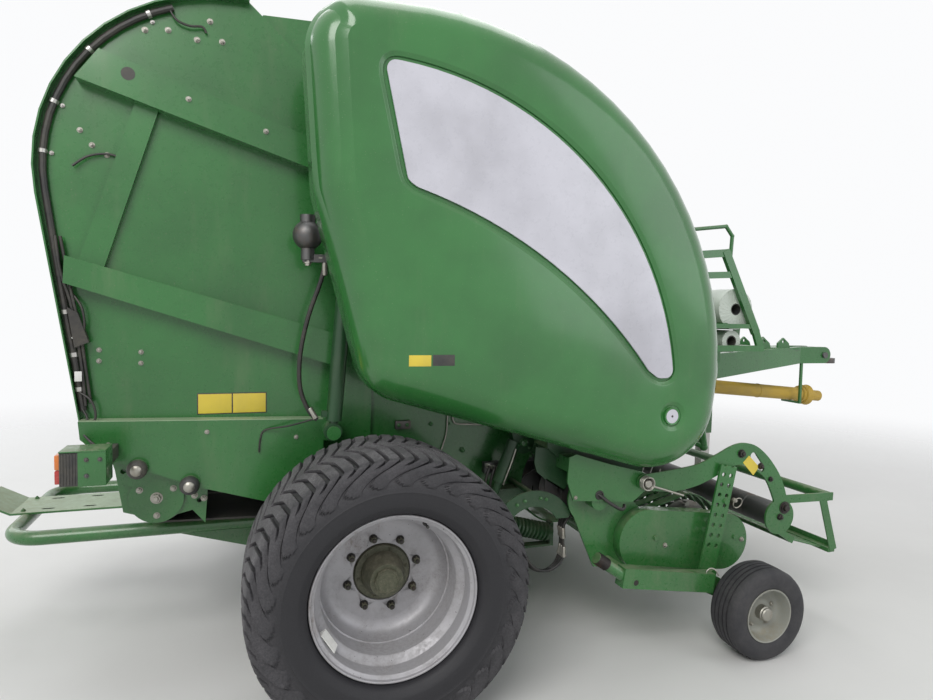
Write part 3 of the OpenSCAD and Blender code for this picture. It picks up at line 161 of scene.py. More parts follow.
def painted(name, colour, rough=0.25, dust=0.35, coat=0.3, mud=0.5, metallic=0.0, wave=0.0):
    """Gloss paint or gloss plastic with colour drift, settled dust and mud low down."""
    n = Nodes(name)
    drift = n.mix(n.ramp(n.noise(3.0), 0.3, 0.7), [c * 0.86 for c in colour], [min(c * 1.12, 1) for c in colour])
    fine = n.noise(38.0, 8.0, 0.7)
    cloud = n.noise(2.2, 6.0, 0.65)
    up = n.ramp(n.normal_z(), 0.15, 0.95)
    settled = n.times(up, n.ramp(n.times(fine, cloud), 0.12, 0.42, 0.0, dust * 1.6))
    streak = n.ramp(n.noise(5.0, 7.0, 0.7, (1.0, 1.0, 0.22)), 0.52, 0.78, 0.0, dust * 0.55)
    low = n.times(n.ramp(n.height(), 1.1, 0.25), n.ramp(n.noise(75.0, 9.0, 0.75), 0.4, 0.72, 0.0, mud))
    specks = n.ramp(n.noise(210.0, 2.0, 0.5), 0.68, 0.74, 0.0, dust)
    total = n.plus(n.plus(settled, streak), n.plus(low, specks))
    colour_out = n.mix(total, drift, DUST)
    layers = [(n.noise(240.0, 3.0), 0.00006), (total, 0.0002)]
    if wave:
        layers.append((n.noise(2.6, 1.0), wave))
    return n.finish(*layers, Base_Color=colour_out, Metallic=metallic, Coat_Weight=coat, Coat_Roughness=0.12,
        Roughness=n.plus(n.ramp(total, 0.0, 0.6, rough, 0.75), n.ramp(fine, 0.3, 0.8, 0.0, 0.08)))


def metal(name, colour, rough=0.35, rust=0.3, rust_colour=(0.16, 0.09, 0.05)):
    n = Nodes(name)
    grain = n.noise(60.0, 8.0, 0.7)
    patch = n.ramp(n.noise(7.0, 9.0, 0.75), 0.5, 0.72, 0.0, rust)
    return n.finish((grain, 0.0002), Base_Color=n.mix(patch, colour, rust_colour),
        Metallic=n.ramp(patch, 0.0, 1.0, 0.9, 0.1),
        Roughness=n.plus(n.ramp(patch, 0.0, 1.0, rough, 0.85), n.ramp(grain, 0.3, 0.7, 0.0, 0.1)))


def rubber(name, colour, dust=0.4, rough=0.75, grain=0.0004, dust_colour=DUST):
    n = Nodes(name)
    fine = n.noise(90.0, 8.0, 0.75)
    cloud = n.noise(6.0, 7.0, 0.7)
    mask = n.times(n.ramp(cloud, 0.32, 0.72), n.ramp(fine, 0.25, 0.75, dust * 0.3, dust))
    return n.finish((fine, grain), Base_Color=n.mix(mask, colour, dust_colour),
        Roughness=n.ramp(mask, 0.0, 0.5, rough, 0.95))


def rim_paint():
    """Silver paint with grime, chips and brown streaks."""
    n = Nodes("rim_silver")
    cloud = n.noise(5.0, 8.0, 0.7)
    fine = n.noise(70.0, 8.0, 0.75)
    grime = n.times(n.ramp(cloud, 0.38, 0.75), n.ramp(fine, 0.35, 0.65, 0.25, 0.85))
    chips = n.ramp(n.noise(120.0, 3.0, 0.6), 0.69, 0.72)
    rust = n.times(n.ramp(n.noise(3.5, 9.0, 0.8, (1.0, 1.0, 0.45)), 0.57, 0.7), n.ramp(fine, 0.3, 0.7, 0.2, 0.9))
    colour = n.mix(grime, (0.42, 0.415, 0.435), (0.215, 0.205, 0.2))
    colour = n.mix(rust, colour, (0.13, 0.085, 0.055))
    colour = n.mix(chips, colour, (0.035, 0.032, 0.03))
    return n.finish((fine, 0.0002), (chips, 0.0002), Base_Color=colour,
        Metallic=n.ramp(n.plus(grime, rust), 0.0, 0.7, 0.3, 0.05),
        Roughness=n.plus(n.ramp(grime, 0.0, 0.8, 0.42, 0.66), n.ramp(fine, 0.3, 0.8, 0.0, 0.1)))


def tread_rubber():
    """Tyre rubber: dusty grey on the blocks and the upper shoulder, dark beside the rim."""
    n = Nodes("tread_rubber")
    split = n.add("ShaderNodeSeparateXYZ", Vector=n.coord)
    flat = n.add("ShaderNodeCombineXYZ", X=n.math("SUBTRACT", split.outputs["X"], -MID_X),
        Z=n.math("SUBTRACT", split.outputs["Z"], 0.51))
    length = n.add("ShaderNodeVectorMath", Vector=flat.outputs["Vector"])
    length.operation = "LENGTH"
    radius = length.outputs["Value"]
    fine = n.noise(150.0, 8.0, 0.8)
    cloud = n.noise(9.0, 7.0, 0.7)
    mottle = n.times(n.ramp(fine, 0.36, 0.66, 0.25, 1.0), n.ramp(cloud, 0.3, 0.7, 0.45, 1.0))
    where = n.plus(n.ramp(radius, 0.365, 0.465, 0.02, 0.3), n.ramp(radius, 0.4965, 0.505, 0.0, 0.55))
    mask = n.times(mottle, where)
    return n.finish((fine, 0.001), (n.noise(420.0, 3.0), 0.0002),
        Base_Color=n.mix(mask, (0.011, 0.011, 0.014), (0.27, 0.258, 0.275)),
        Roughness=n.ramp(mask, 0.0, 0.5, 0.6, 0.92))


TREAD = tread_rubber()
GREEN = (0.026, 0.148, 0.032)
M = {
    "green_paint": painted("green_paint", GREEN, rough=0.26, dust=0.32, coat=0.4, mud=0.16),
    "dark_green_paint": painted("dark_green_paint", (0.013, 0.062, 0.02), rough=0.38, dust=0.26,
        coat=0.1, mud=0.14),
    "green_moulding": painted("green_moulding", (0.028, 0.162, 0.034), rough=0.2, dust=0.16, coat=0.45, wave=0.003),
    "silver_panel": painted("silver_panel", (0.55, 0.55, 0.61), rough=0.26, dust=0.1, coat=0.5,
        mud=0.12, wave=0.002),
    "silver_paint": painted("silver_paint", (0.47, 0.47, 0.47), rough=0.38, dust=0.45, coat=0.1, mud=0.6,
        metallic=0.25),
    "dark_steel": metal("dark_steel", (0.12, 0.12, 0.12), 0.42, 0.5),
    "bare_steel": metal("bare_steel", (0.44, 0.43, 0.41), 0.32, 0.55),
    "chrome_rod": metal("chrome_rod", (0.75, 0.75, 0.74), 0.1, 0.03),
    "tyre_rubber": rubber("tyre_rubber", (0.024, 0.024, 0.028), 0.42, 0.7, 0.0006, (0.15, 0.145, 0.145)),
    "belt_rubber": rubber("belt_rubber", (0.018, 0.019, 0.02), 0.3, 0.6, 0.0006),
    "hose_rubber": rubber("hose_rubber", (0.014, 0.014, 0.015), 0.22, 0.45, 0.0002),
    "yellow_plastic": rubber("yellow_plastic", (0.55, 0.36, 0.045), 0.55, 0.55, 0.0004),
    "net_plastic": rubber("net_plastic", (0.62, 0.68, 0.62), 0.18, 0.4, 0.0012, (0.42, 0.46, 0.38)),
    "lamp_body": rubber("lamp_body", (0.03, 0.031, 0.033), 0.35, 0.55, 0.0002),
}


def lens(name, colour):
    n = Nodes(name)
    ribs = n.add("ShaderNodeTexWave", Vector=n.coord, Scale=55.0, Distortion=0.0)
    ribs.bands_direction = "Y"
    return n.finish((ribs.outputs["Fac"], 0.0006), Base_Color=n.mix(n.ramp(n.noise(40.0, 6.0), 0.45, 0.8, 0.0, 0.3),
        colour, DUST), Roughness=n.ramp(n.noise(30.0, 5.0), 0.3, 0.7, 0.12, 0.3), Coat_Weight=0.7)


M["lamp_lens"] = lens("lamp_lens", (0.42, 0.018, 0.012))
AMBER = lens("amber_lens", (0.66, 0.17, 0.012))
RED = M["lamp_lens"]
PLATE = painted("blank_plate", (0.72, 0.56, 0.06), rough=0.35, dust=0.35, coat=0.2, mud=0.2)
WHITE_TAG = painted("white_tag", (0.78, 0.78, 0.76), rough=0.4, dust=0.25, coat=0.1, mud=0.1)
ZINC = metal("zinc_bolt", (0.36, 0.35, 0.31), 0.36, 0.45)
# Pale green for the top faces of the kicker strip and the tailgate's fold: settled dust, and painted sunlight on
# them
DUST_AND_SUNLIT_STRIP = painted("dust_and_sunlit_strip", (0.3, 0.42, 0.26), rough=0.4, dust=0.25, coat=0.2, mud=0.1)
HUB_GREEN = painted("hub_green", (0.055, 0.06, 0.034), rough=0.5, dust=0.35, coat=0.05, mud=0.4)
RIM_SILVER = rim_paint()
NUT = metal("wheel_nut", (0.06, 0.056, 0.054), 0.5, 0.5)
RIM_BRIGHT = painted("gauge_rim", (0.3, 0.31, 0.28), rough=0.5, dust=0.4, coat=0.05, mud=0.35)

# Materials, smooth edges and a small bevel on the CAD nodes
for row in frame["record"]["subparts"]:
    node = NODES[row["node"]]
    slot = row["material_slot"]
    node.data.materials.clear()
    node.data.materials.append(M[slot])

BEVELS = {
    0.002: "pickup_frame roller_brackets intake_walls hub_right hub_left jack_leg",
    0.003: "chamber_sides cover_panel_right cover_panel_left lamp_boxes rim_right rim_left towing_eye",
    0.004: "tailgate_sides tailgate_beams kicker axle pickup_shields gearbox",
    0.006: "front_housing drawbar",
}
for width, name in [(width, name) for width, names in BEVELS.items() for name in names.split()]:
    node = NODES[name]
    weld = node.modifiers.new("weld", "WELD")
    weld.merge_threshold = 0.00002
    bevel = node.modifiers.new("bevel", "BEVEL")
    bevel.width = width
    bevel.segments = 2
    bevel.limit_method = "ANGLE"
    bevel.angle_limit = radians(35)
    bevel.harden_normals = True


# ---------------------------------------------------------------- mesh helpers
def clean(mesh, sharp, merge=0.0):
    """Turns the faces outwards, merges points closer than merge and shades smooth up to an angle."""
    work = bmesh.new()
    work.from_mesh(mesh)
    if merge:
        bmesh.ops.remove_doubles(work, verts=work.verts, dist=merge)
    bmesh.ops.recalc_face_normals(work, faces=work.faces)
    work.to_mesh(mesh)
    work.free()
    mesh.shade_smooth()
    mesh.set_sharp_from_angle(angle=radians(sharp))


def piece(name, verts, faces, body, material, sharp=30.0):
    """A piece that rides on a body, with its material."""
    mesh = bpy.data.meshes.new(name)
    mesh.from_pydata([tuple(v) for v in verts], [], faces)
    mesh.validate()
    clean(mesh, sharp)
    mesh.materials.append(material)
    obj = bpy.data.objects.new(name, mesh)
    bpy.context.collection.objects.link(obj)
    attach(obj, body)
    return obj


class Shapes:
    """Collects simple solids into one mesh, on one side of the machine or in the middle."""

    def __init__(self, side=None):
        self.side, self.verts, self.faces = side, [], []

    def add(self, verts, faces):
        base = len(self.verts)
        self.verts += [Vector(v) for v in verts]
        self.faces += [[i + base for i in f] for f in faces]

    def rings(self, rings, closed=False, cap=True):
        count = len(rings[0])
        verts = [p for ring in rings for p in ring]
        faces = []
        last = len(rings) if closed else len(rings) - 1
        for i in range(last):
            for k in range(count):
                a, b = i * count, (i + 1) % len(rings) * count
                faces.append((a + k, a + (k + 1) % count, b + (k + 1) % count, b + k))
        if cap and not closed:
            faces.append(tuple(range(count)))
            faces.append(tuple(range(len(verts) - count, len(verts))))
        self.add(verts, faces)

    def sweep(self, path, radius, sides=12, cap=True):
        """A tube along a path; radius is a number or one for each point."""
        path = [Vector(p) for p in path]
        radii = radius if isinstance(radius, (list, tuple)) else [radius] * len(path)
        rings, side = [], None
        for i, p in enumerate(path):
            way = (path[min(i + 1, len(path) - 1)] - path[max(i - 1, 0)]).normalized()
            if side is None:
                side = way.orthogonal().normalized()
            side = (side - way * side.dot(way)).normalized()
            other = way.cross(side)
            rings.append([p + radii[i] * (cos(t) * side + sin(t) * other) for t in turns(sides)])
        self.rings(rings, cap=cap)

    def turned(self, centre, axis, profile, sides=24, cap=True):
        """A turned piece: profile is (distance along axis, radius)."""
        axis = Vector(axis).normalized()
        u = axis.orthogonal().normalized()
        v = axis.cross(u)
        centre = Vector(centre)
        self.rings([[centre + axis * d + max(r, 0.0002) * (cos(t) * u + sin(t) * v) for t in turns(sides)] for d,
            r in profile], cap=cap)

    def bolt(self, centre, axis, size=0.012, turn=0.3):
        """A washer with a hexagon head and a rounded shank end."""
        axis = Vector(axis).normalized()
        self.turned(centre, axis, [(-0.001, size * 1.15), (0.0022, size * 1.15)], 20)
        u = axis.orthogonal().normalized()
        v = axis.cross(u)
        hexagon = [cos(turn + a) * u + sin(turn + a) * v for a in turns(6)]
        base = Vector(centre) + axis * 0.002
        self.rings([[base + size * 0.95 * h for h in hexagon],
            [base + axis * size * 0.6 + size * 0.95 * h for h in hexagon],
            [base + axis * size * 0.72 + size * 0.8 * h for h in hexagon]])
        self.turned(base + axis * size * 0.6, axis,
            [(0.0, size * 0.5), (size * 0.5, size * 0.48), (size * 0.6, size * 0.36)], 12)

    def bolts(self, y, size, *places):
        """Equal bolts at (X, height) places on one face of the side."""
        for x, z in places:
            self.bolt(self.side(x, y, z), self.side.out, size)

    def outward(self, place, profile, sides=24, cap=True):
        """A turned piece that points away from the machine's middle plane."""
        self.turned(self.side(*place), self.side.out, profile, sides, cap)

    def tube(self, points, steps, radius, sides):
        """A round tube on a smooth route through places on the side."""
        self.sweep(self.side.all(smooth(points, steps)), radius, sides)

    def box(self, one, other, bevel=0.0):
        """A box between two opposite corners."""
        low, high = [min(a, b) for a, b in zip(one, other)], [max(a, b) for a, b in zip(one, other)]
        work = bmesh.new()
        bmesh.ops.create_cube(work, size=1.0)
        for v in work.verts:
            v.co = Vector([low[k] + (v.co[k] + 0.5) * (high[k] - low[k]) for k in range(3)])
        if bevel:
            bmesh.ops.bevel(work, geom=work.edges[:], offset=bevel, segments=2, profile=0.6, affect="EDGES")
        work.verts.ensure_lookup_table()
        self.add([v.co.copy() for v in work.verts], [[v.index for v in f.verts] for f in work.faces])
        work.free()

    def side_box(self, x, y, z, bevel=0.0):
        """A box from its spans along X, outwards and up."""
        self.box(self.side(x[0], y[1], z[0]), self.side(x[1], y[0], z[1]), bevel)

    def prism(self, outline, shift):
        """A flat outline of points pushed along a vector."""
        outline = [Vector(p) for p in outline]
        self.rings([outline, [p + Vector(shift) for p in outline]])

    def make(self, name, body, slot, material=None, sharp=30.0):
        """Makes the piece; one of a side gets the side's name behind its own."""
        name += f"_{self.side}" if self.side else ""
        return piece(name, self.verts, self.faces, body, material or M[slot], sharp)


def smooth(points, steps=6):
    """A smooth route through the given points."""
    points = [Vector(p) for p in points]
    out = []
    for i in range(len(points) - 1):
        a, b = points[max(i - 1, 0)], points[i]
        c, d = points[i + 1], points[min(i + 2, len(points) - 1)]
        for k in range(steps):
            t = k / steps
            out.append(0.5 * (2 * b + (c - a) * t + (2 * a - 5 * b + 4 * c - d) * t * t
                + (3 * b - a - 3 * c + d) * t ** 3))
    out.append(points[-1])
    return out


class Side:
    """One side of the machine. A call gives a place on it, with y as the distance from the middle plane."""

    def __init__(self, name, sign):
        self.name, self.sign, self.out = name, sign, Vector((0, -sign, 0))

    def __str__(self):
        return self.name

    def __call__(self, x, y, z):
        return at(x, -y * self.sign, z)

    def all(self, points):
        return [self(*p) for p in points]

    def flat(self, y, outline):
        """An outline of (X, height) points at one distance outwards."""
        return [self(p[0], y, p[1]) for p in outline]


SIDES = (Side("right", 1.0), Side("left", -1.0))


def rod(length, radius):
    """The profile of a plain rod or disc."""
    return [(0, radius), (length, radius)]


def turns(count):
    """Even angles round a full turn."""
    return [k * tau / count for k in range(count)]


# ---------------------------------------------------------------- side covers
# Inner edge and face of the cover, its rounding and wall, the recesses and the round lip of their grooves
COVER_IN, COVER_OUT, ROUND, WALL, RECESS, GROOVE, LIP = 0.93, 1.19, 0.13, 0.008, 0.01, 0.016, 0.014
ARC_C, ARC_R, LOBE_R = (0.131, 1.278), 1.341, 0.3
LOBES = [(-0.11, 2.42, 0.19), (-0.072, 1.96, 0.198), (0.075, 1.35, 0.184), (1.156, 1.156, LOBE_R)] + [
    (ARC_C[0] + (ARC_R - LOBE_R) * cos(radians(a)), ARC_C[1] + (ARC_R - LOBE_R) * sin(radians(a)), LOBE_R)
    for a in range(0, 91, 5)]


def step(x, low, high):
    """A smooth step from 0 to 1."""
    t = min(max((x - low) / (high - low), 0.0), 1.0)
    return t * t * (3 - 2 * t)


def hull_outline(lobes, steps=360, gap=0.03):
    """Points and outward normals round the hull of the given discs."""
    found = []
    for k in range(steps):
        n = Vector((cos(k * tau / steps), sin(k * tau / steps)))
        best = max(lobes, key=lambda l: l[0] * n.x + l[1] * n.y + l[2])
        found.append((Vector(best[:2]) + best[2] * n, n))
    out = []
    for (p, n), (q, m) in zip(found, found[1:] + found[:1]):
        parts = max(1, int((q - p).length / gap))
        out += [(p.lerp(q, t / parts), n.lerp(m, t / parts).normalized()) for t in range(parts)]
    return out


OUTLINE = hull_outline(LOBES)


def panel_loop(node):
    """The outline of the inset panel, read from its node's front face."""
    mesh = NODES[node].data
    front = min(v.co.y for v in mesh.vertices)
    work = bmesh.new()
    work.from_mesh(mesh)
    bmesh.ops.remove_doubles(work, verts=work.verts, dist=0.00005)
    edges = {}
    for edge in work.edges:
        if all(abs(v.co.y - front) < 0.00005 for v in edge.verts) and any(
                abs(f.normal.y) < 0.5 for f in edge.link_faces):
            a, b = (v.index for v in edge.verts)
            edges.setdefault(a, []).append(b)
            edges.setdefault(b, []).append(a)
    work.verts.ensure_lookup_table()
    loops, left = [], set(edges)
    while left:
        loop = [left.pop()]
        while True:
            step = [v for v in edges[loop[-1]] if v in left]
            if not step:
                break
            loop.append(step[0])
            left.discard(step[0])
        loops.append([Vector((work.verts[i].co.x + MID_X, work.verts[i].co.z)) for i in loop])
    work.free()
    loop = max(loops, key=lambda l: max(p.x for p in l) - min(p.x for p in l))
    area = sum(a.x * b.y - b.x * a.y for a, b in zip(loop, loop[1:] + loop[:1]))
    return loop if area > 0 else loop[::-1]


def even(loop, gap):
    """Evenly spaced and softened points round a loop."""
    out = []
    for p, q in zip(loop, loop[1:] + loop[:1]):
        parts = max(1, round((q - p).length / gap))
        out += [p.lerp(q, t / parts) for t in range(parts)]
    for _ in range(6):
        out = [0.25 * a + 0.5 * b + 0.25 * c for a, b, c in zip(out[-1:] + out[:-1], out, out[1:] + out[:1])]
    return out


def grown(loop, by):
    """A loop moved outwards by a distance."""
    out = []
    for a, b, c in zip(loop[-1:] + loop[:-1], loop, loop[1:] + loop[:1]):
        way = (c - a).normalized()
        out.append(b + by * Vector((way.y, -way.x)))
    return out


PANEL = even(panel_loop("cover_panel_right"), 0.016)
PLUG_X, PLUG_Z = 1.18, 1.096
PLUG = [Vector((PLUG_X + 0.036 * cos(t), PLUG_Z + 0.036 * sin(t))) for t in turns(40)]


def cover_shell(side):
    s = Shapes(side)

    def ring(shrink, depth):
        return [side(p.x - n.x * shrink, COVER_OUT - depth, p.y - n.y * shrink) for p, n in OUTLINE]

    rings = [ring(0.0, COVER_OUT - COVER_IN), ring(0.0, ROUND + 0.05)]
    for a in range(0, 91, 9):
        c, d = cos(radians(a)), sin(radians(a))
        line = []
        for p, n in OUTLINE:
            # The rear edge is flatter, between two soft creases that fade downward
            flat = 0.62 * step(-n.x, 0.45, 0.85) * step(p.y, 1.35, 2.1) + 0.1
            t = a / 90
            shrink = ROUND * ((1 - c) * (1 - flat) + t * flat)
            depth = ROUND * ((1 - d) * (1 - flat) + (1 - t) * flat)
            line.append(side(p.x - n.x * shrink, COVER_OUT - depth, p.y - n.y * shrink))
        rings.append(line)
    s.rings(rings, cap=False)
    # Inner side of the shell and its edge
    inner = [ring(WALL, COVER_OUT - COVER_IN), ring(WALL, ROUND + 0.01)]
    for a in range(15, 91, 15):
        c, d = cos(radians(a)), sin(radians(a))
        inner.append(ring(WALL + ROUND * (1 - c), 0.018 + ROUND * (1 - d)))
    count = len(s.verts)
    s.rings(inner, cap=False)
    s.faces.append(list(range(count + (len(inner) - 1) * len(OUTLINE), count + len(inner) * len(OUTLINE))))
    n = len(OUTLINE)
    s.faces += [[k, (k + 1) % n, count + (k + 1) % n, count + k] for k in range(n)]
    # Flat face with the two recesses
    edge = [p - q * ROUND for p, q in OUTLINE]
    lips = [grown(PANEL, GROOVE + LIP + 0.003), grown(PLUG, 0.027)]
    flat = [Vector(p) for p in edge] + [p for lip in lips for p in lip]
    loops, start = [], 0
    for size in (len(edge), len(lips[0]), len(lips[1])):
        loops.append(list(range(start, start + size)))
        start += size
    loops = [loops[0]] + [l[::-1] for l in loops[1:]]
    verts, _, faces, *_ = geometry.delaunay_2d_cdt(flat, [], loops, 2, 1e-6)
    base = len(s.verts)
    s.verts += side.flat(COVER_OUT, verts)
    s.faces += [[i + base for i in f] for f in faces]
    # Rounded lips down into the recesses, and their floors
    for loop, grow, lip, deep in ((PANEL, GROOVE, LIP, RECESS + 0.004), (PLUG, 0.008, 0.016, RECESS)):
        steps = []
        for out, low in ((lip + 0.003, 0.0), (lip + 0.0015, 0.0003), (lip, 0.0011), (0.0045, 0.0062),
                (0.0012, 0.0076), (0.0, 0.0092)):
            steps.append(side.flat(COVER_OUT - low, grown(loop, grow + out)))
        steps.append(side.flat(COVER_OUT - deep, grown(loop, grow)))
        steps.append(side.flat(COVER_OUT - deep, grown(loop, -0.01)))
        s.rings(steps, cap=False)
    # Hinge arms inside the shell
    for x in (0.15, 0.72):
        top = ARC_C[1] + sqrt(ARC_R ** 2 - (x - ARC_C[0]) ** 2)
        s.turned(side(x - 0.028, 0.76, 2.56), (1, 0, 0),
            [(0, 0.013), (0, 0.022), (0.056, 0.022), (0.056, 0.013)], 24)
        for y0, y1, z0, z1 in ((0.788, 0.99, top - 0.054, top - 0.004),
                (0.77, 0.81, min(top - 0.054, 2.538), max(top - 0.004, 2.572))):
            s.side_box((x - 0.028, x + 0.028), (y0, y1), (z0, z1), 0.004)
    shell = s.make("cover_shell", f"door_{side}", "green_moulding", sharp=24)
    clean(shell.data, 24, merge=0.00002)
    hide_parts(f"cover_{side}")


for side in SIDES:
    cover_shell(side)


# ---------------------------------------------------------------- main tyres
TYRE_R, TRACK = 0.51, 1.08
LUGS = 30
# Half of the carcass section from the bead outwards: offset from the middle, radius
CARCASS = [(0.184, 0.285), (0.19, 0.3005), (0.21, 0.3035), (0.226, 0.312), (0.236, 0.33), (0.24, 0.3335),
    (0.2435, 0.35), (0.246, 0.378), (0.2455, 0.4), (0.242, 0.42), (0.237, 0.44), (0.2305, 0.458), (0.2225, 0.471),
    (0.2125, 0.48), (0.2, 0.486), (0.17, 0.4895), (0.1, 0.4925), (0.0, 0.4945)]


def along(points, count):
    """Even steps along a run of (offset, radius) points."""
    points = [Vector(p) for p in points]
    lengths = [0.0]
    for a, b in zip(points, points[1:]):
        lengths.append(lengths[-1] + (b - a).length)
    out, k = [], 0
    for i in range(count + 1):
        want = lengths[-1] * i / count
        while k < len(points) - 2 and lengths[k + 1] < want:
            k += 1
        out.append(points[k].lerp(points[k + 1], (want - lengths[k]) / (lengths[k + 1] - lengths[k])))
    return out


# Columns of the tread within one lug's pitch: two crown blocks with grooves between them
COLUMNS = (0.0, 0.018, 0.06, 0.12, 0.19, 0.26, 0.32, 0.352, 0.372, 0.43, 0.482, 0.5, 0.518, 0.56, 0.62, 0.69, 0.76,
    0.82, 0.852, 0.872, 0.91, 0.955)


SHOULDER_R, SCALE_RUN = 0.4815, 0.0815  # radius where the crown ends, and how far the scales run inwards


def lean(offset, radius):
    """How far the lug's line has turned from the middle of the tread."""
    a = abs(offset)
    turn = -0.95 * min(a, 0.09) - 0.24 * (min(max(a, 0.09), 0.215) - 0.09)
    s = min(max((SHOULDER_R - radius) / SCALE_RUN, 0.0), 1.0) if a > 0.15 else 0.0
    return turn + 0.34 * (1 - (1 - min(s / 0.85, 1.0)) ** 1.6)


def lug_height(phase, offset, radius):
    """Height of the tread above the carcass: crown blocks, and below them scales that overlap round the shoulder."""
    half = phase % 0.5
    block = step(half, 0.0, 0.018) * (1 - step(half, 0.352, 0.372))
    if radius > SHOULDER_R:
        return 0.0165 * (block if abs(offset) > 0.012 else max(block, 0.3))
    s = (SHOULDER_R - radius) / SCALE_RUN
    join = 1 - step(s, 0.02, 0.14)
    # A scale thickens toward its leading edge and ends in a round tip
    lead = 0.87 - 0.62 * max(0.0, (s - 0.45) / 0.43) ** 2
    if s > 0.9 or lead < 0.05:
        scale = 0.0
    else:
        tip = 1 - step(phase, lead - 0.018, lead + 0.01)
        scale = (0.3 + 0.7 * min(phase / lead, 1.0)) * tip * (1 - step(s, 0.82, 0.9))
    return (0.012 + 0.004 * (1 - s)) * scale * (1 - join) + 0.016 * join * block


def tyre(side):
    half = along(CARCASS[:6], 8)[:-1] + along(CARCASS[5:], 60)
    section = half + [Vector((-p.x, p.y)) for p in reversed(half[:-1])]
    verts, faces = [], []
    pitch = tau / LUGS
    rings = []
    for k, p in enumerate(section):
        before, after = section[max(k - 1, 0)], section[min(k + 1, len(section) - 1)]
        way = (after - before).normalized()
        normal = Vector((way.y, -way.x)) if way.length else Vector((0, 1))
        if normal.dot(Vector((p.x * 0.5, p.y - 0.4))) < 0:
            normal = -normal
        rise = 0.0
        for ring, wide, high in ((0.342, 0.0016, 0.0012), (0.3555, 0.0022, 0.0018), (0.3905, 0.0034, 0.0036),
                (0.3985, 0.0026, 0.0024)):
            rise += high * max(0.0, 1 - ((p.y - ring) / wide) ** 2)
        rings.append((p, normal, rise, lean(p.x, p.y) + (0.5 * pitch if p.x < -0.001 else 0.0)))
    for lug in range(LUGS):
        for phase in COLUMNS:
            for p, normal, rise, turned_by in rings:
                turn = (lug + phase) * pitch + turned_by
                h = (lug_height(phase, p.x, p.y) if p.y > 0.399 else 0.0) + rise
                q = p + normal * h
                q = Vector((max(min(q.x, 0.2505), -0.2505), min(q.y, TYRE_R)))
                verts.append(side(q.y * cos(turn), TRACK + q.x, TYRE_R + q.y * sin(turn)))
    count, around = len(section), LUGS * len(COLUMNS)
    for i in range(around):
        a, b = i * count, (i + 1) % around * count
        faces += [(a + k, a + k + 1, b + k + 1, b + k) for k in range(count - 1)]
        faces.append((a + count - 1, a, b, b + count - 1))
    cover = piece(f"tyre_{side}_tread", verts, faces, f"wheel_{side}", TREAD, 36)
    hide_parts(f"tyre_{side}")


for side in SIDES:
    tyre(side)


# ---------------------------------------------------------------- rims and hubs
def wheel_place(side, angle, radius, out):
    """A place on a main wheel, from its angle, radius and distance outwards of the tyre's middle."""
    return side(radius * cos(angle), TRACK + out, TYRE_R + radius * sin(angle))


for side in SIDES:
    body = f"wheel_{side}"
    NODES[f"rim_{side}"].data.materials[0] = RIM_SILVER
    NODES[f"hub_{side}"].data.materials[0] = HUB_GREEN
    middle = side(0, TRACK, TYRE_R)
    # Turned edge of the disc, laid against the barrel, and the rounded rim edge
    dish = Shapes(side)
    dish.turned(middle, side.out, [(-0.0487, 0.186), (-0.048, 0.196), (-0.045, 0.207), (-0.039, 0.218),
        (-0.03, 0.228), (-0.018, 0.2355), (-0.004, 0.24), (0.012, 0.2425), (0.0165, 0.2432), (0.018, 0.245),
        (0.018, 0.2492)], 120, cap=False)
    t = [(0.203 + 0.0028 * sin(a), 0.2945 + 0.004 * cos(a)) for a in (k * pi / 8 for k in range(9))]
    dish.turned(middle, side.out, t, 120, cap=False)
    dish.make("rim_dish", body, "silver_paint", RIM_SILVER, 40)
    # The wells round the nuts are flat dark rings: painted shade in the recesses
    nuts, well_shade = (Shapes(side) for _ in range(2))
    for k in range(8):
        angle = radians(45 * k + 15)
        well_shade.turned(wheel_place(side, angle, 0.1375, -0.0492), side.out,
            [(0, 0.0168), (0.0014, 0.0168), (0.0016, 0.012)], 28)
        place = wheel_place(side, angle, 0.1375, -0.048)
        nuts.turned(place, side.out, [(0, 0.0135), (0.002, 0.0138), (0.006, 0.0128)], 24)
        u, v = Vector((1, 0, 0)), Vector((0, 0, 1))
        ring = [0.0122 * (cos(k + a) * u + sin(k + a) * v) for a in turns(6)]
        base = place + side.out * 0.004
        nuts.rings([[base + h for h in ring], [base + side.out * 0.012 + h for h in ring],
            [base + side.out * 0.015 + h * 0.82 for h in ring]])
        nuts.turned(base + side.out * 0.012, side.out, [(0, 0.008), (0.012, 0.0078), (0.014, 0.0066)], 16)
    well_shade.make("stud_well_painted_shade", body, "dark_steel", M["hose_rubber"], 40)
    nuts.make("wheel_nuts", body, "dark_steel", NUT, 30)
    # Ridge and bolts on the hub's cap
    cap = Shapes(side)
    cap.turned(middle, side.out, [(0.053, 0.044), (0.056, 0.043), (0.0565, 0.041), (0.0545, 0.0395)], 8, cap=False)
    for k, a in enumerate(turns(6)):
        cap.bolt(wheel_place(side, a + 0.2, 0.093, -0.0435), side.out, 0.0065, k)
    cap.make("hub_trim", body, "dark_steel", HUB_GREEN, 30)
    # Small blank tag inside the rim, and the valve
    tag, mark_ = (Shapes(side) for _ in range(2))
    for shapes, lift, low, high, half_turn in ((tag, 0.0, 0.13, 0.158, 0.15), (mark_, 0.0008, 0.139, 0.148, 0.085)):
        corners = [(s, y) for s, y in ((-1, low), (1, low), (1, high), (-1, high))]
        shapes.rings([[wheel_place(side, radians(213) + s * half_turn,
            0.2765 - deep * (0.0215 - 0.62 * (y - 0.13)) - deep * lift, y) for s, y in corners]
            for deep in (0.0, 1.0)])
    tag.make("rim_tag", body, "silver_paint", WHITE_TAG)
    mark_.make("rim_tag_mark", body, "dark_steel", M["lamp_body"])
    valve = Shapes(side)
    valve.turned(wheel_place(side, 1.1, 0.262, 0.12), side.out,
        [(0, 0.0075), (0.01, 0.0075), (0.014, 0.0045), (0.04, 0.0045), (0.041, 0.0055), (0.05, 0.0055)], 14)
    valve.make("valve", body, "dark_steel", M["lamp_body"])


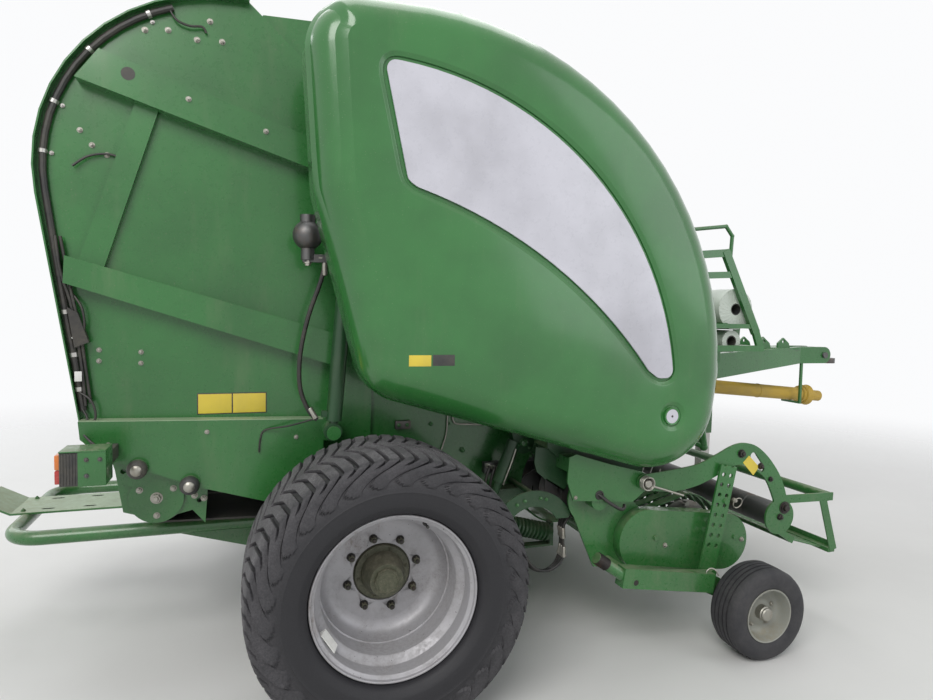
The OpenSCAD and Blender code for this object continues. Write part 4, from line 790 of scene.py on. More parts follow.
# ---------------------------------------------------------------- tailgate trim
# Faces of the side plate and its ribs, the rear arc, the lower roller's end and the two black domes
PLATE_Y, RIB_Y = 0.65, 0.716
TAIL_C, TAIL_R = (-0.529, 2.018), 0.697
ROLLER_X, ROLLER_Z = -0.829, 0.753
DOMES = ((-0.885, 0.89), (-0.702, 0.816))


# X, distance outwards, height and size
TAIL_BOLTS = [
    (-0.856, PLATE_Y, 2.552, 0.01), (-0.776, PLATE_Y, 2.564, 0.01), (-0.627, PLATE_Y, 2.62, 0.01),
    (-0.674, PLATE_Y, 2.543, 0.01), (-0.583, PLATE_Y, 2.549, 0.01),
    (-1.077, PLATE_Y, 2.156, 0.009), (-1.038, PLATE_Y, 2.105, 0.009), (-0.989, PLATE_Y, 2.073, 0.009),
    (-1.024, PLATE_Y, 1.339, 0.008), (-1.025, PLATE_Y, 1.297, 0.008),
    (-0.88, PLATE_Y, 1.331, 0.008), (-0.881, PLATE_Y, 1.288, 0.008),
    (-0.7, RIB_Y, 2.295, 0.009), (-0.42, RIB_Y, 2.205, 0.009),
    (-0.985, RIB_Y, 0.985, 0.008), (-0.3, RIB_Y, 0.985, 0.008), (-0.64, RIB_Y, 1.02, 0.008),
]

for side in SIDES:
    bolts = Shapes(side)
    for k, (x, y, z, size) in enumerate(TAIL_BOLTS):
        bolts.bolt(side(x, y, z), side.out, size, 0.3 + 0.7 * k)
    bolts.make("tailgate_bolts", "tailgate", "bare_steel", ZINC)

for side in SIDES:
    # Clamps that hold the harness, its loose loops and the sleeve with its tie
    clamps, cables, ties = (Shapes(side) for _ in range(3))
    for angle in (118, 140, 160, 176):
        t = radians(angle)
        x, z = TAIL_C[0] + (TAIL_R - 0.03) * cos(t), TAIL_C[1] + (TAIL_R - 0.03) * sin(t)
        clamps.turned(side(x, PLATE_Y + 0.013, z) - Vector((0.006 * sin(t), 0, -0.006 * cos(t))),
            (sin(t), 0, -cos(t)), rod(0.014, 0.0155), 16)
        clamps.bolt(side(x + 0.026 * -cos(t), PLATE_Y + 0.002, z - 0.026 * sin(t)), side.out, 0.007)
    for x, z in ((-1.13, 1.49), (-1.105, 1.33), (-1.09, 1.2)):
        clamps.turned(side(x, PLATE_Y + 0.013, z), (0.12, 0, -1), rod(0.016, 0.0155), 16)
    runs = (
        [(-1.1, 0.668, 2.02), (-1.05, 0.664, 2.06), (-0.985, 0.661, 2.075), (-0.93, 0.66, 2.06),
            (-0.905, 0.658, 2.045)],
        [(-0.77, 0.665, 2.64), (-0.745, 0.67, 2.6), (-0.7, 0.668, 2.585), (-0.655, 0.664, 2.59),
            (-0.64, 0.66, 2.57)],
        [(-1.112, 0.674, 1.56), (-1.072, 0.69, 1.5), (-1.065, 0.688, 1.42), (-1.095, 0.676, 1.35)],
        [(-1.085, 0.674, 1.18), (-1.045, 0.69, 1.15), (-1.03, 0.694, 1.09), (-1.052, 0.7, 1.03),
            (-1.04, 0.716, 0.985)],
        [(-1.08, 0.672, 1.12), (-1.06, 0.684, 1.08), (-1.078, 0.7, 1.045), (-1.05, 0.722, 1.01),
            (-1.02, 0.735, 0.985)],
        [(-1.156, 0.68, 1.76), (-1.14, 0.688, 1.64), (-1.11, 0.682, 1.52), (-1.092, 0.676, 1.4),
            (-1.076, 0.674, 1.26), (-1.066, 0.676, 1.13)],
        [(-1.142, 0.672, 1.76), (-1.122, 0.676, 1.64), (-1.103, 0.684, 1.54), (-1.08, 0.68, 1.41),
            (-1.066, 0.672, 1.28), (-1.05, 0.674, 1.14)],
    )
    for k, run in enumerate(runs):
        cables.tube(run, 7, 0.0045 if k < 5 else 0.006, 10)
    # Pointed sleeve
    ring = [(-1.12, 0.664, 1.5), (-1.086, 0.664, 1.48), (-1.05, 0.664, 1.37), (-1.098, 0.664, 1.35)]
    cables.rings([side.all(ring), [side(x * 0.999, y + 0.03, z) for x, y, z in ring]])
    ties.turned(side(-1.09, 0.672, 1.392), (0.2, 0, -1), rod(0.006, 0.021), 18)
    ties.box(side(-1.096, 0.7, 1.225), side(-1.072, 0.7015, 1.262), 0.0004)
    clamps.make("harness_clamps", "tailgate", "bare_steel")
    cables.make("harness_cables", "tailgate", "hose_rubber", sharp=50)
    ties.make("harness_ties", "tailgate", "lamp_body", WHITE_TAG)

    # Hose fittings at the accumulator, and the small pipe beside the barrel
    steel, pipe = (Shapes(side) for _ in range(2))
    steel.turned(side(-0.2, 0.815, 1.694), (0, 0, -1),
        [(-0.012, 0.013), (0.0, 0.013), (0.0, 0.0115), (0.046, 0.0115), (0.05, 0.0095)], 18)
    steel.turned(side(-0.231, 0.802, 1.075), (-0.5, 0, 0.85), [(0.0, 0.0115), (0.044, 0.0115), (0.048, 0.0095)], 18)
    steel.turned(side(-0.245, 0.815, 1.71), (1, 0, 0),
        [(0.0, 0.012), (0.02, 0.012), (0.02, 0.016), (0.034, 0.016)], 6)
    steel.turned(side(-0.266, 0.815, 1.7), (0, 0, -1),
        [(0.0, 0.017), (0.012, 0.017), (0.012, 0.012), (0.02, 0.012)], 6)
    pipe.tube([(-0.24, 0.8, 1.07), (-0.33, 0.76, 1.04), (-0.42, 0.722, 1.02), (-0.44, 0.7205, 0.985),
        (-0.445, 0.7205, 0.93)], 8, 0.0035, 10)
    steel.make("hose_fittings", "tailgate", "bare_steel", ZINC)
    pipe.make("hose_pipe", "tailgate", "hose_rubber", sharp=50)

    # Blank plate low on the side, the pale fold of the lower panel's top edge, a dark disc for a hole in the upper
    # rib
    plate, frame_, ledge, spot = (Shapes(side) for _ in range(4))
    for shapes, x0, x1, z0, z1, y in ((frame_, -0.68, -0.414, 1.079, 1.165, 0.0008),
            (plate, -0.676, -0.55, 1.083, 1.161, 0.0016), (plate, -0.545, -0.418, 1.083, 1.161, 0.0016)):
        shapes.box(side(x0, PLATE_Y - 0.001, z0), side(x1, PLATE_Y + y, z1), 0.0003)
    frame_.make("plate_frame_tailgate", "tailgate", "lamp_body")
    plate.make("blank_plate_tailgate", "tailgate", "yellow_plastic", PLATE)
    # The fold is pale as settled dust and as painted light on its upward face
    fold = [(-1.083, 1.0752), (-0.192, 1.0552), (-0.192, 1.058), (-1.083, 1.078)]
    ledge.prism(side.flat(0.652, fold), side.out * (RIB_Y + 0.0006 - 0.652))
    ledge.make("panel_fold", "tailgate", "green_paint", DUST_AND_SUNLIT_STRIP)
    # The hole is a flat dark disc: painted shade
    spot.outward((-0.905, RIB_Y - 0.001, 2.362), rod(0.0016, 0.024), 32)
    spot.make("rib_hole_painted_shade", "tailgate", "lamp_body", M["hose_rubber"])

    # Bolts on the roller's end disc and the bracket, and the black domes with their caps
    s = Shapes(side)
    for k in range(3):
        t = radians(30 + 120 * k)
        s.bolt(side(ROLLER_X + 0.07 * cos(t), 0.656, ROLLER_Z + 0.07 * sin(t)), side.out, 0.011, k)
    s.bolts(0.656, 0.02, (ROLLER_X, ROLLER_Z))
    s.bolts(0.662, 0.011, (-0.905, 0.85), (-0.69, 0.755), (-0.655, 0.742))
    for x, z in DOMES:
        s.outward((x, 0.74, z), [(0.02, 0.0215), (0.026, 0.0205), (0.031, 0.015), (0.033, 0.006)], 24)
    s.make("roller_end_bolts", "tailgate", "bare_steel", ZINC)
    caps = Shapes(side)
    for x, z in DOMES:
        caps.outward((x, 0.737, z), [(0.0, 0.037), (0.006, 0.037), (0.018, 0.033), (0.026, 0.024), (0.03, 0.008)],
            28)
    caps.make("bearing_caps", "tailgate", "lamp_body", sharp=40)


# ---------------------------------------------------------------- lamps
for side in SIDES:
    shell, ribs, amber, red, bolts = (Shapes(side) for _ in range(5))
    shell.side_box((-1.033, -0.947), (0.848, 0.9625), (0.8925, 1.0125), 0.003)
    shell.side_box((-1.089, -0.947), (0.845, 0.9645), (1.011, 1.0155), 0.0015)
    shell.side_box((-1.002, -0.948), (0.718, 0.852), (0.938, 0.942), 0.001)
    for k in range(5):
        ribs.side_box((-1.079 + 0.009 * k, -1.0755 + 0.009 * k), (0.959, 0.9625), (0.9, 1.006), 0.0008)
    ribs.side_box((-1.088, -1.083), (0.85, 0.961), (0.895, 1.01), 0.002)
    amber.side_box((-1.1035, -1.085), (0.8535, 0.9545), (0.9515, 1.0025), 0.004)
    red.side_box((-1.1035, -1.085), (0.8535, 0.9545), (0.9025, 0.9495), 0.004)
    bolts.bolts(0.9625, 0.0065, (-1.006, 0.985), (-1.006, 0.93), (-0.965, 0.985))
    shell.make("lamp_housing", "tailgate", "green_paint")
    ribs.make("lamp_ribs", "tailgate", "lamp_body")
    one = amber.make("lamp_amber", "tailgate", "lamp_lens", AMBER)
    if side.sign > 0:
        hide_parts("lamp_lenses")
    red.make("lamp_red", "tailgate", "lamp_lens", RED)
    bolts.make("lamp_bolts", "tailgate", "dark_steel")


# ---------------------------------------------------------------- kicker
# The pale strip: its face, where it bends up, how steeply, and half of its width
STRIP_TOP, BEND_X, RISE, STRIP_HALF = 0.5812, -1.48, 0.53, 0.129
# Flat dark ovals on the strip: painted shade in its slots
slot_shade = Shapes()
for x in (-1.53, -1.347, -1.18, -1.0):
    slope = RISE if x < BEND_X else 0.0
    for y in (-0.085, 0.085):
        top = STRIP_TOP + (BEND_X - x) * slope
        ring = [(x + 0.016 * cos(t) + (0.011 if cos(t) > 0 else -0.011), y + 0.0075 * sin(t))
            for t in (a + 0.01 for a in turns(20))]
        slot_shade.rings([[at(px, py, top + lift + (x - px) * slope) for px, py in ring] for lift in (-0.001, 0.0006)])
slot_shade.make("kicker_slot_painted_shade", "kicker", "dark_green_paint", M["lamp_body"])
# The strip's face is pale green: settled dust, and painted sunlight on its upward face
edge = Shapes()
edge.box(at(BEND_X, -STRIP_HALF, 0.5805), at(-0.862, STRIP_HALF, 0.5818), 0.0)
edge.rings([[at(x, y * STRIP_HALF, z - low) for y, low in ((-1, 0), (1, 0), (1, 0.0018), (-1, 0.0018))] for x,
    z in ((BEND_X, 0.5818), (-1.594, 0.645))])
edge.make("kicker_strip_face", "kicker", "green_paint", DUST_AND_SUNLIT_STRIP)
straps = Shapes()
for side in SIDES:
    for x in (-1.44, -0.892):
        straps.bolt(at(x, 0.1 * side.sign, 0.5815), (0, 0, 1), 0.009)
    straps.bolt(side(-0.14, 0.429, 0.546), side.out, 0.02)
straps.make("kicker_bolts", "kicker", "green_paint")


# ---------------------------------------------------------------- covers: blank plates and plug
PLATE_FACE = (COVER_OUT - 0.0005, COVER_OUT + 0.0008)
for side in SIDES:
    plate, dark, dot = (Shapes(side) for _ in range(3))
    plate.side_box((0.055, 0.137), PLATE_FACE, (1.313, 1.353), 0.0003)
    dark.side_box((0.143, 0.226), PLATE_FACE, (1.3145, 1.3545), 0.0003)
    dot.outward((PLUG_X, 1.1875, PLUG_Z), [(0, 0.0045), (0.0012, 0.0045), (0.0022, 0.003)], 20)
    plate.make("blank_plate_cover", f"door_{side}", "green_moulding", PLATE)
    dark.make("dark_plate_cover", f"door_{side}", "green_moulding", M["lamp_body"])
    dot.make("plug_stud", f"door_{side}", "silver_panel", NUT)
    edge = Shapes(side)
    edge.outward((PLUG_X, 1.1872, PLUG_Z), [(0, 0.0295), (0.001, 0.029), (0.0022, 0.0315), (0.0022, 0.0365),
        (-0.004, 0.0375)], 60, cap=False)
    edge.make("plug_ring", f"door_{side}", "green_moulding", sharp=50)


# ---------------------------------------------------------------- behind the tyre
for side in SIDES:
    pipes, hoses, steel, block, bolts = (Shapes(side) for _ in range(5))
    pipes.tube([(0.4, 0.63, 1.12), (0.401, 0.63, 1.03), (0.406, 0.63, 1.008), (0.424, 0.63, 0.997),
        (0.49, 0.63, 0.992), (0.6, 0.63, 0.988)], 6, 0.0048, 12)
    pipes.tube([(0.377, 0.63, 1.12), (0.376, 0.63, 1.02), (0.371, 0.63, 0.95), (0.349, 0.632, 0.88)], 6, 0.0035, 12)
    pipes.tube([(0.655, 0.781, 0.9), (0.638, 0.7825, 0.85), (0.606, 0.7825, 0.766), (0.598, 0.778, 0.74)],
        6, 0.0042, 12)
    bolts.bolts(0.622, 0.007, (0.413, 1.062), (0.532, 1.0025), (0.386, 0.997))
    for x, z, size in ((0.452, 0.873, 0.013), (0.7, 1.0, 0.01), (0.3, 1.0, 0.01)):
        bolts.bolt(side(x, 0.622, z), side.out, size)
    bolts.bolts(0.913, 0.0075, (0.61, 0.685), (0.721, 0.706), (0.748, 0.7), (0.646, 0.7))
    bolts.bolts(0.765, 0.007, (0.727, 0.9), (0.735, 0.862), (0.672, 0.915))
    bolts.bolts(0.7655, 0.017, (0.7, 0.925))
    block.side_box((0.54, 0.618), (0.652, 0.69), (0.772, 0.822), 0.003)
    block.side_box((0.132, 0.202), (0.6215, 0.64), (0.984, 1.022), 0.003)
    bolts.bolts(0.64, 0.0075, (0.148, 1.003), (0.186, 1.003))
    for k, x in enumerate((0.552, 0.578, 0.604)):
        steel.turned(side(x, 0.689, 0.808 - 0.008 * k), side.out + Vector((0, 0, 0.25)),
            [(0, 0.0105), (0.01, 0.0105), (0.01, 0.0085), (0.026, 0.0085), (0.028, 0.0065)], 12)
        hoses.tube([(x, 0.712, 0.812 - 0.008 * k), (x - 0.004, 0.728, 0.806), (x - 0.018, 0.735, 0.77),
            (x - 0.03, 0.732, 0.7), (x - 0.025, 0.722, 0.64)], 6, 0.0062, 10)
    for k in range(3):
        y = 0.835 + 0.021 * k
        run = smooth([(0.925, y - 0.01, 0.64 - 0.006 * k), (0.88, y, 0.618 - 0.008 * k), (0.855, y, 0.56),
            (0.862 - 0.004 * k, y, 0.5), (0.858, y, 0.43), (0.835, y - 0.005, 0.372 + 0.006 * k),
            (0.785, y - 0.012, 0.342 + 0.008 * k), (0.725, y - 0.025, 0.362 + 0.006 * k), (0.69, y - 0.05, 0.43),
            (0.676, y - 0.085, 0.5)], 8)
        hoses.sweep(side.all(run), 0.0068, 12)
        for t in (20, 30):
            a, b = Vector(run[t]), Vector(run[t + 1])
            centre = side(*a)
            way = side(*b) - centre
            steel.turned(centre - way.normalized() * 0.02, way,
                [(0, 0.0085), (0.002, 0.0098), (0.034, 0.0098), (0.036, 0.012), (0.046, 0.012), (0.048, 0.0085)],
                14)
    for name, shapes, slot, look in (("pipes", pipes, "bare_steel", ZINC),
            ("hoses", hoses, "hose_rubber", M["hose_rubber"]), ("fittings", steel, "bare_steel", ZINC),
            ("valve_block", block, "dark_green_paint", M["dark_steel"]),
            ("side_bolts", bolts, "green_paint", M["green_paint"])):
        shapes.make(name, "chassis", slot, look, 45)


# ---------------------------------------------------------------- intake wall, hose grommet
for side in SIDES:
    grommet, hose, bolts = (Shapes(side) for _ in range(3))
    t = [(0.0145 + 0.004 * sin(a), 0.017 + 0.004 * cos(a)) for a in turns(12) + [tau]]
    grommet.outward((0.952, 1.0, 0.732), t, 24, cap=False)
    grommet.outward((0.952, 1.0135, 0.732), rod(0.0012, 0.0135), 24)
    hose.tube([(0.95, 1.01, 0.733), (0.96, 1.02, 0.726), (0.988, 1.03, 0.703), (1.024, 1.034, 0.68),
        (1.058, 1.023, 0.664), (1.082, 1.006, 0.664), (1.094, 0.988, 0.668)], 7, 0.0078, 12)
    bolts.bolts(1.014, 0.0075, (0.835, 0.73))
    grommet.make("grommet", "chassis", "hose_rubber", sharp=50)
    hose.make("intake_hose", "chassis", "hose_rubber", sharp=50)
    bolts.make("intake_bolts", "chassis", "bare_steel", ZINC)
    # Plate between the lift cylinder and the intake wall, with a folded lower edge; its dark green is painted shade
    house = Shapes(side)
    outline = [(0.7, 0.93), (0.88, 0.9), (0.868, 0.76), (0.84, 0.728), (0.752, 0.782), (0.708, 0.82), (0.696, 0.86)]
    house.prism(side.flat(0.886, outline), side.out * 0.008)
    house.rings([side.all(ring) for ring in (
            ((0.752, 0.864, 0.782), (0.752, 0.894, 0.782), (0.755, 0.894, 0.787), (0.755, 0.864, 0.787)),
            ((0.84, 0.864, 0.728), (0.84, 0.894, 0.728), (0.843, 0.894, 0.733), (0.843, 0.864, 0.733)))])
    # A second plate further out, also dark green as painted shade
    outline = [(0.744, 0.93), (0.744, 0.99), (0.8, 0.975), (1.01, 0.905), (1.2, 0.858), (1.23, 0.845),
        (1.23, 0.778), (1.0, 0.83), (0.8, 0.88)]
    house.prism(side.flat(0.912, outline), side.out * 0.006)
    house.make("intake_side_plate_painted_shade", "chassis", "dark_green_paint")


# ---------------------------------------------------------------- pick-up and gauge wheels
GAUGE_X, GAUGE_Y, GAUGE_R = 1.679, 1.18, 0.205
for side in SIDES:
    bolts, clip = (Shapes(side) for _ in range(2))
    bolts.bolts(0.996, 0.01, (1.31, 0.47), (1.742, 0.456))
    bore, nut_and_bore_shade = (Shapes(side) for _ in range(2))
    bore.outward((1.08, 1.1195, 0.372), [(0, 0.019), (0.0018, 0.0185), (0.0018, 0.0125), (-0.0002, 0.012)],
        28, cap=False)
    # A flat dark disc in the bore: painted shade for the inside of the hole
    nut_and_bore_shade.outward((1.08, 1.1192, 0.372), rod(0.001, 0.0122), 24)
    way = (side(1.05, 1.09, 0.385) - side(0.9, 1.09, 0.49)).normalized()
    grip = []
    for k in range(11):
        grip += [(0.002 + 0.0055 * k, 0.025), (0.0035 + 0.0055 * k, 0.0275), (0.0055 + 0.0055 * k, 0.0275),
            (0.007 + 0.0055 * k, 0.025)]
    nut_and_bore_shade.turned(side(0.9, 1.09, 0.49), way, grip, 12)
    bore.make("gauge_arm_bore", "pickup", "green_paint", sharp=40)
    nut_and_bore_shade.make("gauge_arm_nut_and_bore_shade", "pickup", "dark_steel", NUT, 30)
    clip.tube([(1.455, 1.1, 0.345), (1.462, 1.1, 0.372), (1.48, 1.104, 0.384), (1.5, 1.112, 0.376),
        (1.512, 1.118, 0.352)], 6, 0.0035, 10)
    ring = [side(1.655 + 0.024 * cos(t), 1.057 + 0.006 * sin(t), 0.655 + 0.024 * sin(t)) for t in turns(28) + [tau]]
    clip.sweep(ring, 0.0028, 8)
    clip.outward((1.64, 1.046, 0.668), [(0, 0.01), (0.012, 0.01), (0.014, 0.007), (0.02, 0.007)], 16)
    bolts.make("pickup_bolts", "pickup", "bare_steel", ZINC)
    clip.make("pickup_clips", "pickup", "bare_steel", ZINC, 50)

    middle = side(GAUGE_X, GAUGE_Y, GAUGE_R)
    half = [(0.069, 0.1185), (0.0745, 0.1245), (0.079, 0.133), (0.0815, 0.148), (0.082, 0.165), (0.0805, 0.177),
        (0.077, 0.188), (0.07, 0.196), (0.059, 0.201)]
    crown, x = [], 0.056
    for k in range(5):
        edge_r = 0.2045 - 0.0022 * (abs(x) / 0.056)
        crown += [(x, edge_r), (x - 0.015, edge_r + 0.0004), (x - 0.0156, edge_r - 0.006),
            (x - 0.0232, edge_r - 0.006)]
        x -= 0.0238
    crown = [p for p in crown if p[0] > -0.056]
    profile = half + crown + [(-d, r) for d, r in reversed(half)]
    tread = Shapes(side)
    rings = []
    for k, t in enumerate(turns(144)):
        notch = 0.0022 if k % 6 < 2 else 0.0
        line = []
        for d, r in profile:
            r2 = r - (notch if 0.196 < r < 0.203 and abs(d) > 0.054 else 0.0)
            line.append(middle + side.out * d + Vector((r2 * cos(t), 0, r2 * sin(t))))
        rings.append(line)
    tread.rings(rings, closed=True)
    cover = tread.make("gauge_tyre", f"gauge_{side}", "tyre_rubber", sharp=35)
    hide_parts(f"gauge_wheel_{side}")
    rim = Shapes(side)
    for face in (1, -1):
        rim.turned(middle, side.out * face, [(0.07, 0.1185), (0.073, 0.12), (0.075, 0.118), (0.0735, 0.113),
            (0.06, 0.108), (0.042, 0.106), (0.024, 0.102), (0.012, 0.093), (0.008, 0.08), (0.0105, 0.06),
            (0.02, 0.052), (0.022, 0.03)], 72, cap=False)
    rim.make("gauge_rim", f"gauge_{side}", "silver_paint", RIM_BRIGHT, 50)
    hub = Shapes(side)
    hub.turned(middle, side.out, [(-0.062, 0.023), (-0.062, 0.033), (0.05, 0.033), (0.054, 0.029), (0.06, 0.029),
        (0.064, 0.025), (0.066, 0.008)], 36)
    for k, a in enumerate(turns(5)):
        place = side(GAUGE_X + 0.07 * cos(a + 0.3), GAUGE_Y + 0.0095, GAUGE_R + 0.07 * sin(a + 0.3))
        hub.bolt(place, side.out, 0.0085, k)
    hub.make("gauge_hub", f"gauge_{side}", "bare_steel", ZINC, 35)


# ---------------------------------------------------------------- crop guard
GUARD_IN, GUARD_OUT = 1.019, 1.029
HALF = 1.024  # half of the length of what joins the arms
PIVOT_X, PIVOT_Z = 1.167, 0.778
TUBE_X, TUBE_Z = 1.936, 0.557  # the roller's axis
ARM_TOP = [(1.167, 0.812), (1.29, 0.822), (1.442, 0.84), (1.55, 0.88), (1.64, 0.918), (1.706, 0.927),
    (1.777, 0.909), (1.851, 0.853), (1.922, 0.767), (1.96, 0.69), (1.977, 0.632)]
ARM_LOW = [(1.895, 0.632), (1.893, 0.649), (1.846, 0.739), (1.784, 0.791), (1.712, 0.823), (1.649, 0.822),
    (1.566, 0.786), (1.447, 0.743), (1.313, 0.725), (1.167, 0.744)]


def disc(x, z, radius, low=0.0, high=360.0, steps=24):
    """Points round an arc, from its angles in degrees."""
    return [Vector((x + radius * cos(radians(low + (high - low) * k / steps)),
        z + radius * sin(radians(low + (high - low) * k / steps)))) for k in range(steps)]


def slot_outline(p, q, radius, steps=14):
    """A slot's outline round the line from p to q."""
    angle = degrees(atan2(q[1] - p[1], q[0] - p[0]))
    return disc(*p, radius, angle + 90, angle + 270, steps) + disc(*q, radius, angle - 90, angle + 90, steps)


def holed_plate(shapes, side, outline, holes, y0, y1):
    """A plate in the XZ plane between two distances from the middle, with holes."""
    points, loops = [], []
    for loop in [outline] + holes:
        loops.append(list(range(len(points), len(points) + len(loop))))
        points += [Vector(p) for p in loop]
    faces = geometry.delaunay_2d_cdt(points, [], [loops[0]] + [l[::-1] for l in loops[1:]], 2, 1e-6)
    for y in (y0, y1):
        shapes.add(side.flat(y, faces[0]), faces[2])
    for loop in [outline] + holes:
        shapes.rings([side.flat(y0, loop), side.flat(y1, loop)], cap=False)


frame_, roller = Shapes(), Shapes()
for side in SIDES:
    arm = disc(PIVOT_X, PIVOT_Z, 0.034, 90, 270, 18)[:-1] + smooth([Vector(p) for p in ARM_LOW[::-1]], 6)
    arm += disc(TUBE_X, TUBE_Z, 0.085, 119, 421, 60)[1:] + smooth([Vector(p) for p in ARM_TOP[::-1]], 6)
    holed_plate(frame_, side, arm, [disc(PIVOT_X, PIVOT_Z, 0.0165), disc(1.69, 0.878, 0.014),
        slot_outline((1.812, 0.8), (1.762, 0.862), 0.018)], GUARD_IN, GUARD_OUT)
    for (x0, z0), (x1, z1), wide, inset in (((1.955, 0.64), (2.27, 0.632), 0.04, 0.001),
            ((2.2, 0.65), (2.292, 0.358), 0.042, 0.002), ((1.936, 0.49), (2.03, 0.43), 0.03, 0.001)):
        across = Vector((z0 - z1, x1 - x0)).normalized() * wide / 2
        ring = [(x0 + across.x, z0 + across.y), (x1 + across.x, z1 + across.y), (x1 - across.x, z1 - across.y),
            (x0 - across.x, z0 - across.y)]
        frame_.prism(side.flat(GUARD_IN + inset, ring), side.out * (GUARD_OUT - GUARD_IN - 2 * inset))
frame_.turned(at(2.246, -HALF, 0.632), (0, 1, 0), [(0, 0.02), (0.004, 0.024), (2 * HALF - 0.004, 0.024),
    (2 * HALF, 0.02)], 28)
frame_.turned(at(2.012, -HALF, 0.434), (0, 1, 0), rod(2 * HALF, 0.011), 16)
frame_.box(at(2.262, -HALF, 0.346), at(2.303, HALF, 0.368), 0.0025)
frame_.box(at(2.294, -HALF, 0.35), at(2.3, HALF, 0.394), 0.0015)
for k in range(38):
    y = (k - 18.5) * (2 * GUARD_IN - 0.08) / 37
    frame_.sweep([at(2.275, y, 0.357), at(2.012, y, 0.434)], 0.005, 10)
whole = frame_.make("crop_guard_frame", "guard", "green_paint", sharp=35)
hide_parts("crop_guard")
# The ribbed crop roller; its dark steel is painted shade
profile = [(0, 0.05), (0.004, 0.058), (0.01, 0.06)]
for k in range(1, 12):
    d = 2 * HALF * k / 12
    profile += [(d - 0.012, 0.06), (d - 0.01, 0.0585), (d + 0.01, 0.0585), (d + 0.012, 0.06)]
profile += [(2 * HALF - 0.01, 0.06), (2 * HALF - 0.004, 0.058), (2 * HALF, 0.05)]
roller.turned(at(TUBE_X, -HALF, TUBE_Z), (0, 1, 0), profile, 48)
roller.make("guard_roller_painted_shade", "guard", "dark_steel", sharp=35)
for side in SIDES:
    spring, lever, bolts, plate = (Shapes(side) for _ in range(4))
    spring.sweep([side(PIVOT_X + 0.0285 * cos(t), 1.0325 + 0.0012 * t, PIVOT_Z + 0.0285 * sin(t))
        for t in (k * tau / 24 for k in range(24 * 4 + 8))], 0.0034, 10)
    lever.tube([(1.135, 1.04, 0.78), (1.24, 1.038, 0.748), (1.37, 1.035, 0.705)], 6, 0.0052, 12)
    lever.outward((PIVOT_X, 1.03, PIVOT_Z), [(0, 0.025), (0.003, 0.025), (0.003, 0.018), (0.03, 0.018),
        (0.033, 0.015)], 24)
    for x, z, size in ((1.69, 0.878, 0.0175), (1.805, 0.812, 0.014), (1.868, 0.746, 0.011)):
        bolts.bolt(side(x, GUARD_OUT, z), side.out, size, x)
    bolts.outward((1.962, GUARD_OUT, 0.6), [(0, 0.03), (0.003, 0.03), (0.0034, 0.0225), (0.008, 0.0225),
        (0.0084, 0.015), (0.02, 0.015), (0.0215, 0.0125)], 28)
    bolts.bolts(1.0295, 0.014, (TUBE_X, TUBE_Z))
    corners = [(1.735, 0.866), (1.797, 0.809), (1.764, 0.771), (1.701, 0.835)]
    plate.rings([side.flat(1.0288, corners), side.flat(1.0302, corners)])
    spring.make("guard_spring", "guard", "bare_steel", ZINC, 60)
    lever.make("guard_rod", "guard", "bare_steel", ZINC, 45)
    bolts.make("guard_bolts", "guard", "dark_steel", NUT)
    plate.make("blank_plate_guard", "guard", "yellow_plastic", PLATE)


# ---------------------------------------------------------------- net rolls, drive shaft, drawbar
folds, cores = Shapes(), Shapes()
for x, z, r in ((2.005, 1.555, 0.11), (1.985, 1.382, 0.06)):
    for side in SIDES:
        rings = []
        for d in range(7):
            radius = 0.0315 + (r - 0.033) * d / 6
            rings.append([side(x + radius * cos(t), 0.5955 + 0.0016 * sin(23 * t + 1.5 * d) + 0.0008 * sin(41 * t),
                z + radius * sin(t)) for t in turns(180)])
        folds.rings(rings, cap=False)
        cores.turned(side(x, 0.596, z), -side.out, [(0, 0.0315), (0, 0.0262), (0.115, 0.0262)], 40, cap=False)
    for k in range(5):
        y = -0.48 + 0.24 * k + 0.02 * (k % 2)
        folds.turned(at(x, y, z), (0, 1, 0), [(0, r), (0.0008, r + 0.0006), (0.016, r + 0.0006), (0.0168, r)],
            90, cap=False)
folds.make("net_folds", "chassis", "net_plastic", sharp=60)
cores.make("net_cores", "chassis", "lamp_body", sharp=60)

EAST = Vector((cos(radians(5.2)), 0, -sin(radians(5.2))))
root = at(2.035, 0, 1.092)
collars, dark = Shapes(), Shapes()
for d, r in ((0.205, 0.048), (0.33, 0.0465), (0.7, 0.0465), (1.04, 0.048)):
    collars.turned(root + EAST * d, EAST, [(0, 0.043), (0.002, r), (0.014, r), (0.016, 0.043)], 36, cap=False)
for d, a, b in ((0.112, 0.0735, 0.07), (0.136, 0.0665, 0.0625), (0.16, 0.058, 0.0545), (1.062, 0.051, 0.0545),
        (1.086, 0.058, 0.0625)):
    collars.turned(root + EAST * d, EAST, [(0, a), (0.003, max(a, b) + 0.0035), (0.012, max(a, b) + 0.002),
        (0.016, b)], 36, cap=False)
for d in (0.07, 1.15):
    for k in range(4):
        dark.bolt(root + EAST * d + Vector((0, 0.036 * cos(k * pi / 2), 0.036 * sin(k * pi / 2))),
            (0, cos(k * pi / 2), sin(k * pi / 2)), 0.0075)
collars.make("shaft_collars", "chassis", "yellow_plastic", sharp=50)
dark.make("shaft_bolts", "chassis", "dark_steel")


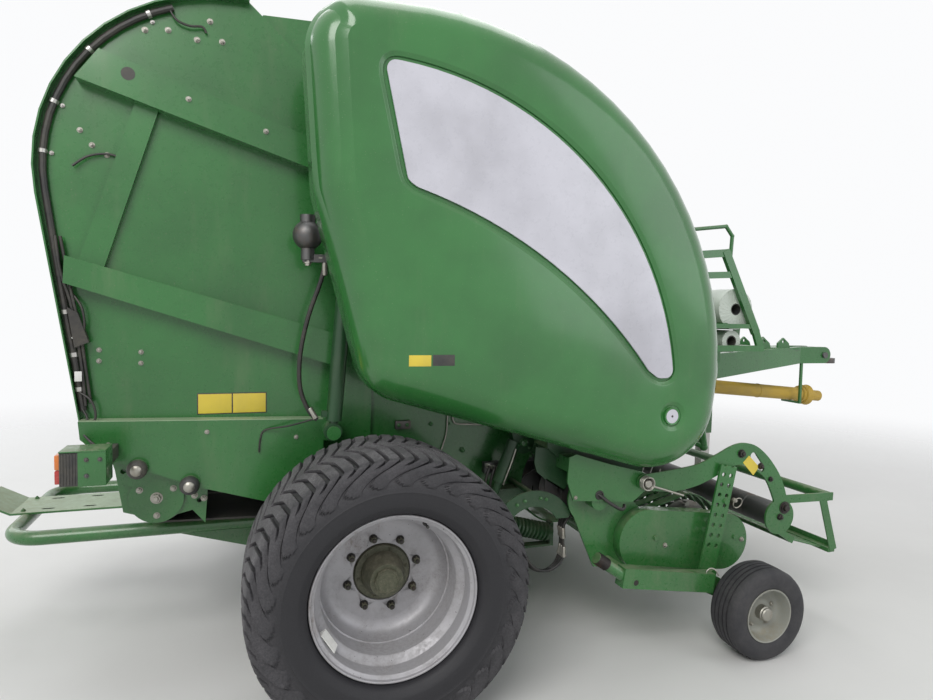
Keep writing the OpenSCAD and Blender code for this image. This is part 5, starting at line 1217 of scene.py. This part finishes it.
# ---------------------------------------------------------------- stage
floor_mesh = bpy.data.meshes.new("floor")
floor_mesh.from_pydata([(-14, -14, 0), (14, -14, 0), (14, 14, 0), (-14, 14, 0)], [], [(0, 1, 2, 3)])
floor = bpy.data.objects.new("floor", floor_mesh)
bpy.context.collection.objects.link(floor)
f = Nodes("pale_floor")
f.put(f.shader, "Base Color", f.mix(f.noise(1.4, 6.0), (0.74, 0.74, 0.73), (0.8, 0.8, 0.79)))
reach = f.add("ShaderNodeVectorMath", Vector=f.coord)
reach.operation = "LENGTH"
f.put(f.shader, "Alpha", f.ramp(reach.outputs["Value"], 2.6, 9.5, 1.0, 0.0))
f.put(f.shader, "Roughness", f.ramp(f.noise(8.0, 6.0), 0.3, 0.7, 0.7, 0.85))
floor_mesh.materials.append(f.material)


def area_light(name, place, target, size, watts, colour=(1, 1, 1)):
    data = bpy.data.lights.new(name, "AREA")
    data.shape = "RECTANGLE"
    data.size, data.size_y = size
    data.energy = watts
    data.color = colour
    light = bpy.data.objects.new(name, data)
    bpy.context.collection.objects.link(light)
    light.location = place
    light.rotation_euler = (Vector(target) - Vector(place)).to_track_quat("-Z", "Y").to_euler()


area_light("key", (-4.5, -6.0, 6.5), (0, -0.6, 1.2), (5.0, 4.0), 420, (1.0, 0.985, 0.96))
area_light("fill", (5.5, -7.0, 4.0), (0.4, -0.5, 1.0), (5.0, 5.0), 110, (0.94, 0.97, 1.0))
area_light("top", (0.0, 1.5, 7.5), (0, 0, 1.5), (6.0, 6.0), 190)
area_light("back", (-6.0, 5.0, 4.5), (0, 0, 1.3), (4.0, 4.0), 130, (0.96, 0.98, 1.0))

world = bpy.data.worlds.new("studio")
bpy.context.scene.world = world
world.use_nodes = True
tree = world.node_tree
background = tree.nodes["Background"]
path = tree.nodes.new("ShaderNodeLightPath")
seen = tree.nodes.new("ShaderNodeMath")
seen.operation = "MAXIMUM"
tree.links.new(path.outputs["Is Camera Ray"], seen.inputs[0])
tree.links.new(path.outputs["Is Glossy Ray"], seen.inputs[1])
level = tree.nodes.new("ShaderNodeMapRange")
level.inputs["To Min"].default_value = 0.4
level.inputs["To Max"].default_value = 0.98
tree.links.new(seen.outputs[0], level.inputs["Value"])
tree.links.new(level.outputs["Result"], background.inputs["Strength"])
background.inputs["Color"].default_value = (0.985, 0.99, 1.0, 1.0)
bpy.context.scene.view_settings.view_transform = "Standard"
